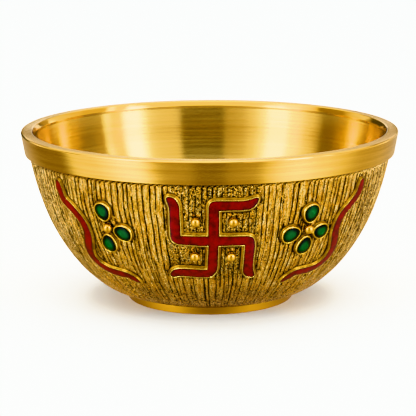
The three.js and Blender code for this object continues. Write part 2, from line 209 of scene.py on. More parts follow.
# ----------------------------------------------------------------- mesh helpers
def make(name, verts, faces, materials, face_material=None, attributes=None, sharp=None, uv=None):
    """A mesh piece from points in millimetres. Attributes are one number per point."""
    mesh = bpy.data.meshes.new(name)
    co = np.asarray(verts, float) * 0.001
    mesh.from_pydata(co.tolist(), [], [tuple(int(i) for i in f) for f in faces])
    mesh.update()
    for m in materials:
        mesh.materials.append(m)
    if face_material is not None:
        mesh.polygons.foreach_set("material_index", np.asarray(face_material, np.int32))
    mesh.polygons.foreach_set("use_smooth", np.ones(len(mesh.polygons), bool))
    for key, values in (attributes or {}).items():
        at = mesh.attributes.new(key, "FLOAT", "POINT")
        at.data.foreach_set("value", np.asarray(values, np.float32))
    if sharp is not None:
        mesh.set_sharp_from_angle(angle=math.radians(sharp))
    if uv is not None:
        layer = mesh.uv_layers.new(name="OFBake")
        loops = np.zeros(len(mesh.loops), np.int32)
        mesh.loops.foreach_get("vertex_index", loops)
        layer.data.foreach_set("uv", uv(mesh, loops).astype(np.float32).ravel())
    mesh.validate()
    piece = bpy.data.objects.new(name, mesh)
    bpy.context.scene.collection.objects.link(piece)
    return piece


def rounded(profile, radii, steps=5):
    """A closed (r, z) profile with its corners turned to arcs."""
    out = []
    n = len(profile)
    for i, p in enumerate(profile):
        rad = radii[i]
        p = np.array(p, float)
        if rad <= 0:
            out.append(tuple(p))
            continue
        a = np.array(profile[i - 1], float) - p
        b = np.array(profile[(i + 1) % n], float) - p
        la, lb = np.linalg.norm(a), np.linalg.norm(b)
        a, b = a / la, b / lb
        half = math.acos(max(-1, min(1, float(a @ b)))) / 2
        t = min(rad / math.tan(half), 0.49 * la, 0.49 * lb)
        rad = t * math.tan(half)
        mid = (a + b) / np.linalg.norm(a + b)
        c = p + mid * rad / math.sin(half)
        s, e = p + a * t - c, p + b * t - c
        for k in range(steps + 1):
            w = k / steps
            ang = math.acos(max(-1, min(1, float(s @ e) / (rad * rad))))
            v = (math.sin((1 - w) * ang) * s + math.sin(w * ang) * e) / max(math.sin(ang), 1e-9)
            out.append(tuple(c + v))
    return out


def lathe(profile, n):
    """Points and faces of a closed (r, z) profile turned round Z; runs so that faces look out."""
    verts, rows = [], []
    ang = np.arange(n) * 2 * math.pi / n
    for r, z in profile:
        if r < 1e-6:
            rows.append([len(verts)])
            verts.append((0, 0, z))
        else:
            rows.append(list(range(len(verts), len(verts) + n)))
            verts.extend(zip(r * np.sin(ang), -r * np.cos(ang), np.full(n, z)))
    area = sum(profile[i][0] * profile[(i + 1) % len(profile)][1] - profile[(i + 1) % len(profile)][0] * profile[i][1]
               for i in range(len(profile)))
    faces, tag = [], []
    for k in range(len(rows)):
        lo, hi = rows[k], rows[(k + 1) % len(rows)]
        if len(lo) == 1 and len(hi) == 1:
            continue
        for j in range(n):
            j2 = (j + 1) % n
            if len(lo) == 1:
                f = (lo[0], hi[j2], hi[j])
            elif len(hi) == 1:
                f = (lo[j], lo[j2], hi[0])
            else:
                f = (lo[j], lo[j2], hi[j2], hi[j])
            faces.append(f if area > 0 else f[::-1])
            tag.append(k)
    return np.array(verts, float), faces, tag


def outward(verts, faces):
    """Turns all faces of one closed body so that they look out."""
    v = np.asarray(verts, float)
    volume = 0.0
    for f in faces:
        for k in range(1, len(f) - 1):
            volume += v[f[0]] @ np.cross(v[f[k]], v[f[k + 1]])
    return faces if volume > 0 else [tuple(f)[::-1] for f in faces]


def spline(points, step, corner_deg=50, keep=1.35):
    """A closed outline resampled on a smooth curve; corners sharper than corner_deg stay."""
    p = np.array(points, float)
    n = len(p)
    e = np.roll(p, -1, 0) - p
    e /= np.linalg.norm(e, axis=1, keepdims=True)
    before = np.roll(e, 1, 0)
    area = np.sum(p[:, 0] * np.roll(p[:, 1], -1) - np.roll(p[:, 0], -1) * p[:, 1])
    turn = np.degrees(np.arctan2(before[:, 0] * e[:, 1] - before[:, 1] * e[:, 0], (before * e).sum(1)))
    inward = turn * np.sign(area) < -corner_deg
    out, corner = [], []
    start = int(np.argmax(inward)) if inward.any() else 0
    for q in range(n):
        i = (start + q) % n
        a, b = p[i], p[(i + 1) % n]
        pa = 2 * a - b if inward[i] else p[i - 1]
        pb = 2 * b - a if inward[(i + 1) % n] else p[(i + 2) % n]
        length = np.linalg.norm(b - a)
        # centripetal tangents keep the curve close to uneven points
        la, lb = np.linalg.norm(a - pa), np.linalg.norm(pb - b)
        ta = ((b - a) / length * la + (a - pa) / la * length) / (la + length) * length
        tb = ((pb - b) / lb * length + (b - a) / length * lb) / (lb + length) * length
        k = max(1, int(round(length / step)))
        for j in range(k):
            w = j / k
            v = ((2 * w**3 - 3 * w * w + 1) * a + (w**3 - 2 * w * w + w) * ta + (-2 * w**3 + 3 * w * w) * b
                 + (w**3 - w * w) * tb)
            out.append(v)
            corner.append(bool(inward[i]) and j == 0)
    out, corner = np.array(out), np.array(corner)
    # leave clear stretches beside each inner corner, so that offsets don't cross
    if corner.any():
        keepers = []
        for i, v in enumerate(out):
            d = np.linalg.norm(out[corner] - v, axis=1).min()
            keepers.append(corner[i] or d > keep)
        out, corner = out[keepers], corner[keepers]
    return out, corner


def normals_of(outline, scale=None):
    """Outward mitre vectors of a closed outline, in its own units. scale: true mm per unit of x."""
    p = outline.copy()
    k = np.ones(len(p)) if scale is None else scale(p[:, 1])
    prev, nxt = np.roll(p, 1, 0), np.roll(p, -1, 0)
    e1 = (p - prev) * np.stack([k, np.ones_like(k)], 1)
    e2 = (nxt - p) * np.stack([k, np.ones_like(k)], 1)
    e1 /= np.linalg.norm(e1, axis=1, keepdims=True)
    e2 /= np.linalg.norm(e2, axis=1, keepdims=True)
    area = np.sum(p[:, 0] * nxt[:, 1] - nxt[:, 0] * p[:, 1])
    sign = 1 if area > 0 else -1
    n1 = np.stack([e1[:, 1], -e1[:, 0]], 1) * sign
    n2 = np.stack([e2[:, 1], -e2[:, 0]], 1) * sign
    m = n1 + n2
    f = np.minimum(2 / np.maximum((m * m).sum(1), 1e-9), 1.12)
    out = m * f[:, None]
    out[:, 0] /= k
    return out


def distance_to(points, outline, scale=None):
    """Distance of points to a closed outline, in true mm."""
    k = np.ones(len(points)) if scale is None else scale(points[:, 1])
    a, b = outline, np.roll(outline, -1, 0)
    best = np.full(len(points), 1e9)
    for i in range(len(a)):
        d0 = (points - a[i]) * np.stack([k, np.ones_like(k)], 1)
        e = (b[i] - a[i])[None, :] * np.stack([k, np.ones_like(k)], 1)
        t = np.clip((d0 * e).sum(1) / np.maximum((e * e).sum(1), 1e-12), 0, 1)
        best = np.minimum(best, np.hypot(*(d0 - e * t[:, None]).T))
    return best


def inside(points, outline):
    x, y = points[:, 0], points[:, 1]
    odd = np.zeros(len(points), bool)
    q = outline
    for i in range(len(q)):
        x0, y0 = q[i - 1]
        x1, y1 = q[i]
        cross = (y0 > y) != (y1 > y)
        xs = (x1 - x0) * (y - y0) / (y1 - y0 if y1 != y0 else 1e-12) + x0
        odd ^= cross & (x < xs)
    return odd


SWASTIK_SECTION = [
    (0.02, SINK), (0.02, 0.5), (0.03, 0.74), (0.06, 0.80), (0.10, CREST_H), (0.15, CREST_H), (0.20, 0.79),
    (0.24, 0.70), (0.28, 0.58), (0.33, 0.48), (0.42, 0.40), (0.57, 0.32), (0.71, 0.20), (0.82, 0.05), (0.89, -0.06),
    (0.99, -0.12), (1.05, -0.28), (1.07, SINK),
]
WAVE_SECTION = [
    (0.02, SINK), (0.02, 0.44), (0.03, 0.64), (0.06, 0.70), (0.10, WAVE_CREST_H), (0.14, WAVE_CREST_H), (0.18, 0.68),
    (0.22, 0.58), (0.26, 0.45), (0.32, 0.32), (0.38, 0.20), (0.45, 0.09), (0.54, -0.03), (0.66, -0.12), (0.79, -0.2),
    (0.90, -0.28), (1.00, -0.36), (1.02, SINK),
]


def cloison(name, outline, place, material, section, scale=None, seed=1):
    """A raised rim round an enamel outline: upright inside, rounded crest, bevelled outside."""
    rng = np.random.default_rng(seed)
    m = normals_of(outline, scale)
    n = len(outline)
    t = np.arange(n) / n
    waver = sum(rng.uniform(-1, 1) * np.sin(2 * math.pi * (f * t + rng.uniform())) for f in rng.integers(3, n // 6, 12))
    waver = waver / 6
    verts, rows, high = [], [], []
    for d, h in section:
        dd = d + (0.05 * waver * (d > 0.3))
        hh = h + 0.03 * (np.roll(waver, n // 3) - 1) * (h > 0.3)
        p = outline + m * np.asarray(dd).reshape(-1, 1)
        rows.append(list(range(len(verts), len(verts) + n)))
        verts.extend(place(p[:, 0], p[:, 1], hh + np.zeros(n)))
        high.extend([h] * n)
    faces = []
    for k in range(len(rows)):
        lo, hi = rows[k], rows[(k + 1) % len(rows)]
        for j in range(n):
            j2 = (j + 1) % n
            faces.append((lo[j], lo[j2], hi[j2], hi[j]))
    return make(name, verts, outward(verts, faces), [material], sharp=60, attributes={"high": high})


def fill(name, outline, place, material, top, scale=None, gap=0.03, pitch=0.42, bottom=SINK):
    """A solid that fills an outline; top(points, distance from the edge) is its height above the wall."""
    edge = outline - normals_of(outline, scale) * gap
    lo, hi = edge.min(0), edge.max(0)
    gx = np.arange(lo[0], hi[0], pitch)
    gy = np.arange(lo[1], hi[1], pitch * 0.866)
    pts = np.array([(x + (pitch / 2 if j % 2 else 0), y) for j, y in enumerate(gy) for x in gx])
    pts = pts[inside(pts, edge)]
    d = distance_to(pts, edge, scale)
    pts = pts[d > pitch * 0.55]
    n = len(edge)
    both = np.vstack([edge, pts])
    vs, _, fs, ov, _, _ = geometry.delaunay_2d_cdt([Vector(p) for p in both], [], [list(range(n))], 1, 1e-7)
    flat = np.array([tuple(v) for v in vs])
    first = {}
    for i, o in enumerate(ov):
        for q in o:
            if q < n:
                first[q] = i
    ring = [first[q] for q in range(n)]
    depth = distance_to(flat, edge, scale)
    h = top(flat, depth)
    up = place(flat[:, 0], flat[:, 1], h)
    down = place(flat[ring, 0], flat[ring, 1], np.full(n, bottom))
    side = place(flat[ring, 0], flat[ring, 1], h[ring] - 0.06)
    centre = place(flat[:, 0], flat[:, 1], np.full(len(flat), bottom))
    k = len(up)
    verts = np.vstack([up, centre, side])
    faces = [tuple(f) for f in fs] + [tuple(i + k for i in f[::-1]) for f in fs]
    area = np.sum(flat[ring, 0] * np.roll(flat[ring, 1], -1) - np.roll(flat[ring, 0], -1) * flat[ring, 1])
    f0 = fs[0]
    a, b, c = flat[f0[0]], flat[f0[1]], flat[f0[2]]
    ccw = (b[0] - a[0]) * (c[1] - a[1]) - (b[1] - a[1]) * (c[0] - a[0]) > 0
    for j in range(n):
        j2 = (j + 1) % n
        t0, t1 = ring[j], ring[j2]
        s0, s1 = 2 * k + j, 2 * k + j2
        b0, b1 = k + ring[j], k + ring[j2]
        quads = [(t0, s0, s1, t1), (s0, b0, b1, s1)]
        if (area > 0) != ccw:
            quads = [q[::-1] for q in quads]
        faces.extend(quads)
    edge_value = np.concatenate([depth, np.zeros(len(flat)), np.zeros(n)])
    u = np.concatenate([flat[:, 0], flat[:, 0], flat[ring, 0]])
    v = np.concatenate([flat[:, 1], flat[:, 1], flat[ring, 1]])
    return make(name, verts, outward(verts, faces), [material],
                attributes={"depth": edge_value, "along": u, "up": v}, sharp=50)


def petal_map(flower_at, petal, rho, theta, beyond, h):
    """Points of a petal: rho is 0 at its centre and 1 at its outline, beyond is mm past that."""
    dist, direction, length, width = petal
    x = (length / 2 * rho + beyond) * np.cos(theta)
    y = (width / 2 * rho + beyond) * np.sin(theta) * (1 + PETAL_TAPER * np.cos(theta))
    ca, sa = math.cos(math.radians(direction)), math.sin(math.radians(direction))
    u = dist + x
    return wrap(flower_at, u * ca - y * sa, u * sa + y * ca, h)


def rings(mapping, profile, n, name, material, sharp=50, attribute=None, second=None):
    """A body from rings: profile rows are (rho, beyond, h); a row with rho 0 and beyond 0 is a point."""
    theta = np.arange(n) * 2 * math.pi / n
    verts, rows, values, high = [], [], [], []
    for rho, beyond, h in profile:
        high.extend([h] * (1 if rho == 0 and beyond == 0 else n))
        if rho == 0 and beyond == 0:
            rows.append([len(verts)])
            verts.extend(mapping(np.zeros(1), np.zeros(1), 0.0, np.full(1, h)))
            values.append(rho)
        else:
            rows.append(list(range(len(verts), len(verts) + n)))
            verts.extend(mapping(np.full(n, rho), theta, beyond, np.full(n, h)))
            values.extend([rho + beyond] * n)
    faces = []
    for k in range(len(rows)):
        lo, hi = rows[k], rows[(k + 1) % len(rows)]
        if len(lo) == 1 and len(hi) == 1:
            continue
        for j in range(n):
            j2 = (j + 1) % n
            if len(lo) == 1:
                faces.append((lo[0], hi[j2], hi[j]))
            elif len(hi) == 1:
                faces.append((lo[j], lo[j2], hi[0]))
            else:
                faces.append((lo[j], lo[j2], hi[j2], hi[j]))
    attributes = {attribute: values} if attribute else {"high": high}
    if second is not None:
        attributes[second[0]] = second[1](np.array(verts, float), np.array(values))
    return make(name, verts, outward(verts, faces), [material], sharp=sharp, attributes=attributes)


# ------------------------------------------------------------------- materials
class Nodes:
    """Short names for building a node material."""

    def __init__(self, tree):
        self.tree = tree

    def new(self, kind, **props):
        node = self.tree.nodes.new(kind)
        for key, value in props.items():
            setattr(node, key, value)
        return node

    def link(self, a, b):
        self.tree.links.new(a, b)

    def put(self, value, socket):
        if isinstance(value, bpy.types.NodeSocket):
            self.link(value, socket)
        else:
            socket.default_value = value

    def math(self, op, a, b=0.0, c=None, clamp=False):
        node = self.new("ShaderNodeMath", operation=op, use_clamp=clamp)
        self.put(a, node.inputs[0])
        self.put(b, node.inputs[1])
        if c is not None:
            self.put(c, node.inputs[2])
        return node.outputs[0]

    def ramp(self, x, a, b, lo=0.0, hi=1.0, smooth=True):
        node = self.new("ShaderNodeMapRange", interpolation_type="SMOOTHSTEP" if smooth else "LINEAR")
        self.put(x, node.inputs[0])
        for k, v in zip((1, 2, 3, 4), (a, b, lo, hi)):
            node.inputs[k].default_value = v
        return node.outputs[0]

    def mix(self, t, a, b, blend="MIX"):
        node = self.new("ShaderNodeMix", data_type="RGBA", blend_type=blend)
        self.put(t, node.inputs[0])
        self.put(a, node.inputs[6])
        self.put(b, node.inputs[7])
        return node.outputs[2]

    def noise(self, vector, scale, detail=2.0, rough=0.5, distortion=0.0):
        node = self.new("ShaderNodeTexNoise")
        self.put(vector, node.inputs["Vector"])
        node.inputs["Scale"].default_value = scale
        node.inputs["Detail"].default_value = detail
        node.inputs["Roughness"].default_value = rough
        node.inputs["Distortion"].default_value = distortion
        return node.outputs[0]

    def voronoi(self, vector, scale, feature="F1"):
        node = self.new("ShaderNodeTexVoronoi", feature=feature)
        self.put(vector, node.inputs["Vector"])
        node.inputs["Scale"].default_value = scale
        return node.outputs[0]

    def attribute(self, name):
        return self.new("ShaderNodeAttribute", attribute_name=name).outputs["Fac"]

    def scaled(self, vector, sx, sy, sz):
        node = self.new("ShaderNodeVectorMath", operation="MULTIPLY")
        self.put(vector, node.inputs[0])
        node.inputs[1].default_value = (sx, sy, sz)
        return node.outputs[0]

    def bump(self, height, distance, strength=1.0, normal=None):
        node = self.new("ShaderNodeBump")
        node.inputs["Strength"].default_value = strength
        node.inputs["Distance"].default_value = distance
        self.put(height, node.inputs["Height"])
        if normal is not None:
            self.link(normal, node.inputs["Normal"])
        return node.outputs[0]

    def turned(self, along=60.0, across=1.0):
        """Coordinates that run quickly across turning marks and slowly along them."""
        place = self.new("ShaderNodeTexCoord").outputs["Object"]
        parts = self.new("ShaderNodeSeparateXYZ")
        self.link(place, parts.inputs[0])
        x, y, z = parts.outputs
        r = self.math("SQRT", self.math("ADD", self.math("MULTIPLY", x, x), self.math("MULTIPLY", y, y)))
        v = self.math("SUBTRACT", self.math("MULTIPLY", z, across), self.math("MULTIPLY", r, 0.61 * across))
        join = self.new("ShaderNodeCombineXYZ")
        self.link(self.math("MULTIPLY", x, along), join.inputs[0])
        self.link(self.math("MULTIPLY", y, along), join.inputs[1])
        self.link(v, join.inputs[2])
        return join.outputs[0]


def material(name):
    m = bpy.data.materials.new(name)
    m.use_nodes = True
    m.node_tree.nodes.clear()
    n = Nodes(m.node_tree)
    shader = n.new("ShaderNodeBsdfPrincipled")
    out = n.new("ShaderNodeOutputMaterial")
    n.link(shader.outputs[0], out.inputs[0])
    return m, n, shader


def rgb(r, g, b):
    return (r, g, b, 1.0)


def brushed_brass(name, light, dark, rough, spread, anisotropy, marks=1.0, coarse=0.5):
    """Turned and brushed brass: fine rings round the bowl."""
    m, n, s = material(name)
    fine = n.noise(n.turned(45, 5200), 1.0, 2.0, 0.6)
    middle = n.noise(n.turned(25, 1300), 1.0, 2.0, 0.5)
    broad = n.noise(n.turned(14, 240), 1.0, 2.0, 0.5)
    place = n.new("ShaderNodeTexCoord").outputs["Object"]
    cloud = n.noise(place, 70, 3.0, 0.55)
    mixd = n.math("ADD", n.math("MULTIPLY", middle, 0.5), n.math("MULTIPLY", broad, 0.5))
    tone = n.math("ADD", n.math("MULTIPLY", mixd, 0.8), n.math("MULTIPLY", cloud, 0.2))
    n.link(n.mix(n.ramp(tone, 0.36, 0.64), rgb(*dark), rgb(*light)), s.inputs["Base Color"])
    streak = n.math("ADD", n.math("MULTIPLY", fine, 0.45), n.math("MULTIPLY", middle, 0.55))
    n.link(n.ramp(streak, 0.3, 0.7, rough - spread, rough + spread), s.inputs["Roughness"])
    s.inputs["Metallic"].default_value = 1.0
    s.inputs["Anisotropic"].default_value = anisotropy
    s.inputs["Anisotropic Rotation"].default_value = 0.25
    tangent = n.new("ShaderNodeTangent", direction_type="RADIAL", axis="Z")
    n.link(tangent.outputs[0], s.inputs["Tangent"])
    normal = n.bump(fine, 0.00001 * marks, 1.0)
    normal = n.bump(middle, 0.00003 * marks, 1.0, normal)
    normal = n.bump(broad, 0.00008 * coarse, 1.0, normal)
    n.link(normal, s.inputs["Normal"])
    return m


GOLD = (0.95, 0.605, 0.125)
GOLD_DARK = (0.81, 0.475, 0.075)

brushed = brushed_brass("brushed_brass", GOLD, GOLD_DARK, 0.22, 0.04, 0.95)
# painted shade: the inside's brass is a darker copy, for the bowl's own shade inside it; it is also paler, to hold back
# the orange of brass reflecting brass
inside_brass = brushed_brass("inside_brass", (0.64, 0.435, 0.112), (0.57, 0.375, 0.085), 0.18, 0.04, 0.96, coarse=0.3)
edge_brass = brushed_brass("edge_brass", GOLD, GOLD_DARK, 0.10, 0.03, 0.5, marks=0.5, coarse=0.3)
# painted shade: the foot ring's brass is a much darker copy, for the shaded floor under the bowl that it reflects
foot_brass = brushed_brass("foot_brass", (0.50, 0.245, 0.022), (0.40, 0.192, 0.015), 0.50, 0.05, 0.3, coarse=0.3)
under_brass = brushed_brass("underside_brass", (0.85, 0.45, 0.06), (0.62, 0.30, 0.03), 0.42, 0.08, 0.5, marks=2.0)


def bright_brass():
    """Hand polished brass of the applied pieces, pale on the crests and dark brown low on their sides: partly patina
    and partly painted shade, near-black at the foot where they meet the wall.
    """
    m, n, s = material("bright_brass")
    place = n.new("ShaderNodeTexCoord").outputs["Object"]
    cloud = n.noise(place, 900, 3.0, 0.6)
    low = n.math("ADD", n.attribute("high"), n.math("MULTIPLY", n.math("SUBTRACT", cloud, 0.5), 0.35))
    # painted shade, partly patina: the bevels are dark brown and the foot of each piece near-black where it meets the
    # wall
    bevel = n.mix(n.ramp(cloud, 0.35, 0.62), rgb(0.20, 0.095, 0.009), rgb(0.42, 0.22, 0.021))
    brown = n.mix(n.ramp(low, -0.1, 0.16), rgb(0.02, 0.010, 0.003), rgb(0.36, 0.17, 0.016))
    colour = n.mix(n.ramp(low, 0.05, 0.42), brown, bevel)
    colour = n.mix(n.ramp(n.attribute("high"), 0.64, 0.78), colour, rgb(1.0, 0.74, 0.18))
    colour = n.mix(n.ramp(n.attribute("high"), 0.84, 0.92), colour, rgb(0.90, 0.56, 0.08))
    n.link(colour, s.inputs["Base Color"])
    n.link(n.ramp(low, 0.0, 0.8, 0.45, 0.22), s.inputs["Roughness"])
    s.inputs["Metallic"].default_value = 1.0
    n.link(n.bump(n.noise(place, 1300, 3.0, 0.6), 0.00008, 1.0), s.inputs["Normal"])
    return m


bright = bright_brass()


def stud_brass():
    m, n, s = material("stud_brass")
    place = n.new("ShaderNodeTexCoord").outputs["Object"]
    up = n.attribute("up")
    low = n.attribute("high")
    gold = n.mix(n.ramp(n.noise(place, 600, 2.0, 0.5), 0.35, 0.65), rgb(0.78, 0.43, 0.045), rgb(0.88, 0.52, 0.065))
    # painted reflection: the upper part of each ball and bead is painted dark brown, for the dark room in front that it
    # reflects
    gold = n.mix(n.ramp(up, 0.35, 0.8), gold, rgb(0.50, 0.25, 0.022))
    n.link(n.mix(n.ramp(low, 0.05, 0.5), rgb(0.05, 0.022, 0.005), gold), s.inputs["Base Color"])
    dull = n.math("ADD", n.math("MULTIPLY", n.math("SUBTRACT", n.noise(place, 2500, 2.0, 0.5), 0.5), 0.12),
                  n.ramp(up, 0.2, -0.15, 0.13, 0.42))
    n.link(dull, s.inputs["Roughness"])
    s.inputs["Metallic"].default_value = 1.0
    n.link(n.bump(n.noise(place, 1500, 2.0, 0.5), 0.00002, 1.0), s.inputs["Normal"])
    return m


studs_brass = stud_brass()


def antiqued_brass():
    """Cast brass with dark patina in the grooves and pits, rubbed bright on the ridges, with painted shade beside the
    applied pieces and a painted sheen that turns it paler toward the bowl's sides.
    """
    m, n, s = material("antiqued_brass")
    place = n.new("ShaderNodeTexCoord").outputs["Object"]
    parts = n.new("ShaderNodeSeparateXYZ")
    n.link(place, parts.inputs[0])
    x, y, _ = parts.outputs
    turn = n.math("ARCTAN2", x, n.math("MULTIPLY", y, -1.0))
    run = n.attribute("run")

    def bark(per_turn, per_mm, detail, shift):
        """Noise drawn out along the meridians; lines wander a little."""
        join = n.new("ShaderNodeCombineXYZ")
        wander = n.math("MULTIPLY", n.noise(n.scaled(place, 1.0, 1.0, 1.0), 160, 1.0, 0.5), 0.9)
        n.link(n.math("ADD", n.math("MULTIPLY", turn, per_turn), wander), join.inputs[0])
        n.link(n.math("MULTIPLY", run, per_mm), join.inputs[1])
        join.inputs[2].default_value = shift
        return n.noise(join.outputs[0], 1.0, detail, 0.6)

    # dark patina of the grooves and pits, plus painted shade beside the applied pieces
    cavity = n.attribute("cavity")
    stipple = n.attribute("stipple")
    lines = bark(130.0, 0.28, 2.0, 3.0)
    ridges = bark(46.0, 0.08, 1.0, 9.0)
    grain = n.noise(place, 2100, 2.0, 0.6)
    blotch = n.noise(place, 800, 3.0, 0.6)
    # winding furrows of the stippled ground
    worm = n.math("ABSOLUTE", n.math("SUBTRACT", n.noise(place, 1500, 1.0, 0.5, 0.7), 0.5))
    furrow = n.math("MULTIPLY", n.ramp(worm, 0.085, 0.025), n.math("MULTIPLY_ADD", stipple, 1.15, 0.30))
    pits = n.math("MULTIPLY", n.ramp(n.voronoi(place, 1500), 0.40, 0.18), n.ramp(blotch, 0.46, 0.62))
    flank = n.ramp(n.math("ABSOLUTE", n.math("COSINE", turn)), 0.80, 0.40)
    coarse = bark(115.0, 0.09, 2.0, 33.0)
    speckle = n.math("MULTIPLY", n.math("SUBTRACT", grain, 0.5), n.math("SUBTRACT", 1.0, n.math("MULTIPLY", flank, 0.5)))
    dark = n.math("ADD", cavity, speckle)
    scores = n.ramp(coarse, 0.52, 0.62, 0.0, 0.33)
    dark = n.math("ADD", dark, n.math("MULTIPLY", scores, flank))
    dark = n.math("ADD", dark, n.math("MULTIPLY", n.math("SUBTRACT", lines, 0.5), 1.0))
    dark = n.math("ADD", dark, n.math("MULTIPLY", furrow, 1.05))
    dark = n.math("ADD", dark, n.math("MULTIPLY", pits, 0.6))
    brown = n.ramp(dark, 0.275, 0.535)
    black = n.ramp(dark, 0.44, 0.62)
    streak = bark(175.0, 0.22, 2.0, 21.0)
    gold = n.mix(n.ramp(ridges, 0.36, 0.64), rgb(0.94, 0.48, 0.05), rgb(1.0, 0.60, 0.10))
    gold = n.mix(n.ramp(streak, 0.49, 0.36), gold, rgb(0.45, 0.21, 0.019))
    gold = n.mix(n.ramp(streak, 0.51, 0.62), gold, rgb(1.0, 0.735, 0.28))
    # painted reflection: the wall is painted paler and less saturated toward the bowl's sides, for the grazing sheen of
    # the white sweep
    gold = n.mix(n.math("MULTIPLY", flank, 0.55), gold, rgb(0.86, 0.60, 0.24))
    colour = n.mix(brown, gold, rgb(0.36, 0.16, 0.018))
    colour = n.mix(n.ramp(run, 34.0, 50.0, 0.0, 0.3), colour, rgb(0.97, 0.46, 0.045))
    colour = n.mix(black, colour, rgb(0.018, 0.010, 0.004))
    n.link(colour, s.inputs["Base Color"])
    n.link(n.ramp(dark, 0.0, 0.7, 0.2, 0.6), s.inputs["Roughness"])
    s.inputs["Metallic"].default_value = 1.0
    normal = n.bump(lines, 0.0004, 1.0)
    normal = n.bump(streak, 0.0002, 1.0, normal)
    normal = n.bump(blotch, 0.00014, 1.0, normal)
    normal = n.bump(n.math("SUBTRACT", n.math("MULTIPLY", grain, 0.5), n.math("MULTIPLY", furrow, 0.9)), 0.0002, 1.0,
                    normal)
    n.link(normal, s.inputs["Normal"])
    return m


antique = antiqued_brass()


def red_enamel():
    m, n, s = material("red_enamel")
    place = n.new("ShaderNodeTexCoord").outputs["Object"]
    depth = n.attribute("depth")
    cloud = n.noise(place, 380, 3.0, 0.6)
    fleck = n.noise(place, 2100, 2.0, 0.5)
    # painted shade: the enamel is darker near its frame, for the shade along the frame's inner edge; the cloud adds
    # random tone
    t = n.math("ADD", n.ramp(depth, 0.0, 0.7, 0.15, 0.7), n.math("MULTIPLY", n.math("SUBTRACT", cloud, 0.5), 2.4))
    colour = n.mix(n.ramp(t, 0.0, 1.1), rgb(0.045, 0.0004, 0.0007), rgb(0.225, 0.0014, 0.0018))
    colour = n.mix(n.ramp(fleck, 0.58, 0.76, 0.0, 0.4), colour, rgb(0.35, 0.005, 0.004))
    n.link(colour, s.inputs["Base Color"])
    n.link(n.ramp(cloud, 0.3, 0.7, 0.30, 0.42), s.inputs["Roughness"])
    s.inputs["Specular IOR Level"].default_value = 0.12
    s.inputs["Coat Weight"].default_value = 0.2
    s.inputs["Coat Roughness"].default_value = 0.06
    normal = n.bump(cloud, 0.00012, 1.0)
    normal = n.bump(fleck, 0.00002, 1.0, normal)
    n.link(normal, s.inputs["Normal"])
    return m


red = red_enamel()


def green_enamel():
    m, n, s = material("green_enamel")
    place = n.new("ShaderNodeTexCoord").outputs["Object"]
    edge = n.attribute("rho")
    cloud = n.noise(place, 650, 3.0, 0.6)
    # painted shade and light: each petal is near-black at its edge, partly thicker glass and partly painted shade, and
    # painted brighter toward its outer end, for light glowing through the enamel
    t = n.math("SUBTRACT", n.math("SUBTRACT", 1.0, edge), n.math("MULTIPLY", n.math("SUBTRACT", cloud, 0.5), 0.5))
    t = n.math("ADD", t, n.math("MULTIPLY", n.attribute("tip"), 0.16))
    colour = n.mix(n.ramp(t, 0.16, 0.72), rgb(0.0012, 0.0040, 0.0022), rgb(0.0030, 0.085, 0.011))
    colour = n.mix(n.math("MULTIPLY", n.ramp(cloud, 0.52, 0.70), n.ramp(t, 0.35, 0.7)), colour,
                   rgb(0.0040, 0.17, 0.026))
    n.link(colour, s.inputs["Base Color"])
    n.link(n.ramp(cloud, 0.3, 0.7, 0.2, 0.3), s.inputs["Roughness"])
    s.inputs["Specular IOR Level"].default_value = 0.04
    s.inputs["Coat Weight"].default_value = 0.16
    s.inputs["Coat Roughness"].default_value = 0.03
    n.link(n.bump(cloud, 0.00005, 1.0), s.inputs["Normal"])
    return m


green = green_enamel()


# -------------------------------------------------------------------- outlines
swastik_outline, swastik_corner = spline(SWASTIK, 0.32)


def wave_outline(line, step=0.36):
    """Closed outline of a wave in (mm round the bowl at REF_R, mm up), with a rounded top end."""
    c = np.array([(math.radians(az) * REF_R, -s) for az, s, _ in line])
    w = np.array([k[2] for k in line])
    # smooth centre line and width
    t = np.concatenate([[0], np.cumsum(np.linalg.norm(np.diff(c, axis=0), axis=1))])
    n = int(t[-1] / step)
    tt = np.linspace(0, t[-1], n)

    def curve(values):
        m = np.gradient(values, t)
        i = np.clip(np.searchsorted(t, tt, side="right") - 1, 0, len(t) - 2)
        hh = t[i + 1] - t[i]
        x = (tt - t[i]) / hh
        return ((2 * x**3 - 3 * x * x + 1) * values[i] + (x**3 - 2 * x * x + x) * hh * m[i]
                + (-2 * x**3 + 3 * x * x) * values[i + 1] + (x**3 - x * x) * hh * m[i + 1])

    cx, cy = curve(c[:, 0]), curve(c[:, 1])
    ww = np.clip(curve(w), 0.3, None)
    k = wave_scale(cy)
    dx, dy = np.gradient(cx, tt) * k, np.gradient(cy, tt)
    ln = np.hypot(dx, dy)
    dx, dy = dx / ln, dy / ln
    left = np.stack([cx - dy * ww / 2 / k, cy + dx * ww / 2], 1)
    right = np.stack([cx + dy * ww / 2 / k, cy - dx * ww / 2], 1)
    head = []
    for a in np.radians(np.arange(150, 0, -30)):
        head.append((cx[0] + (dy[0] * math.cos(a) - dx[0] * math.sin(a)) * -ww[0] / 2 / k[0] * -1,
                     cy[0] + (-dx[0] * math.cos(a) - dy[0] * math.sin(a)) * ww[0] / 2))
    tail = [(cx[-1] + dx[-1] * ww[-1] * 0.55 / k[-1], cy[-1] + dy[-1] * ww[-1] * 0.55)]
    return np.vstack([left, tail, right[::-1], np.array(head)[::-1]])


wave_outlines = {"left": wave_outline(WAVE_LEFT), "right": wave_outline(WAVE_RIGHT)}
for side, o in wave_outlines.items():
    # an even spacing, so that the head's arc runs on from the sides
    keep = [0]
    for i in range(1, len(o)):
        if np.linalg.norm(o[i] - o[keep[-1]]) > 0.16:
            keep.append(i)
    if np.linalg.norm(o[keep[-1]] - o[0]) < 0.16:
        keep.pop()
    wave_outlines[side] = o[keep]

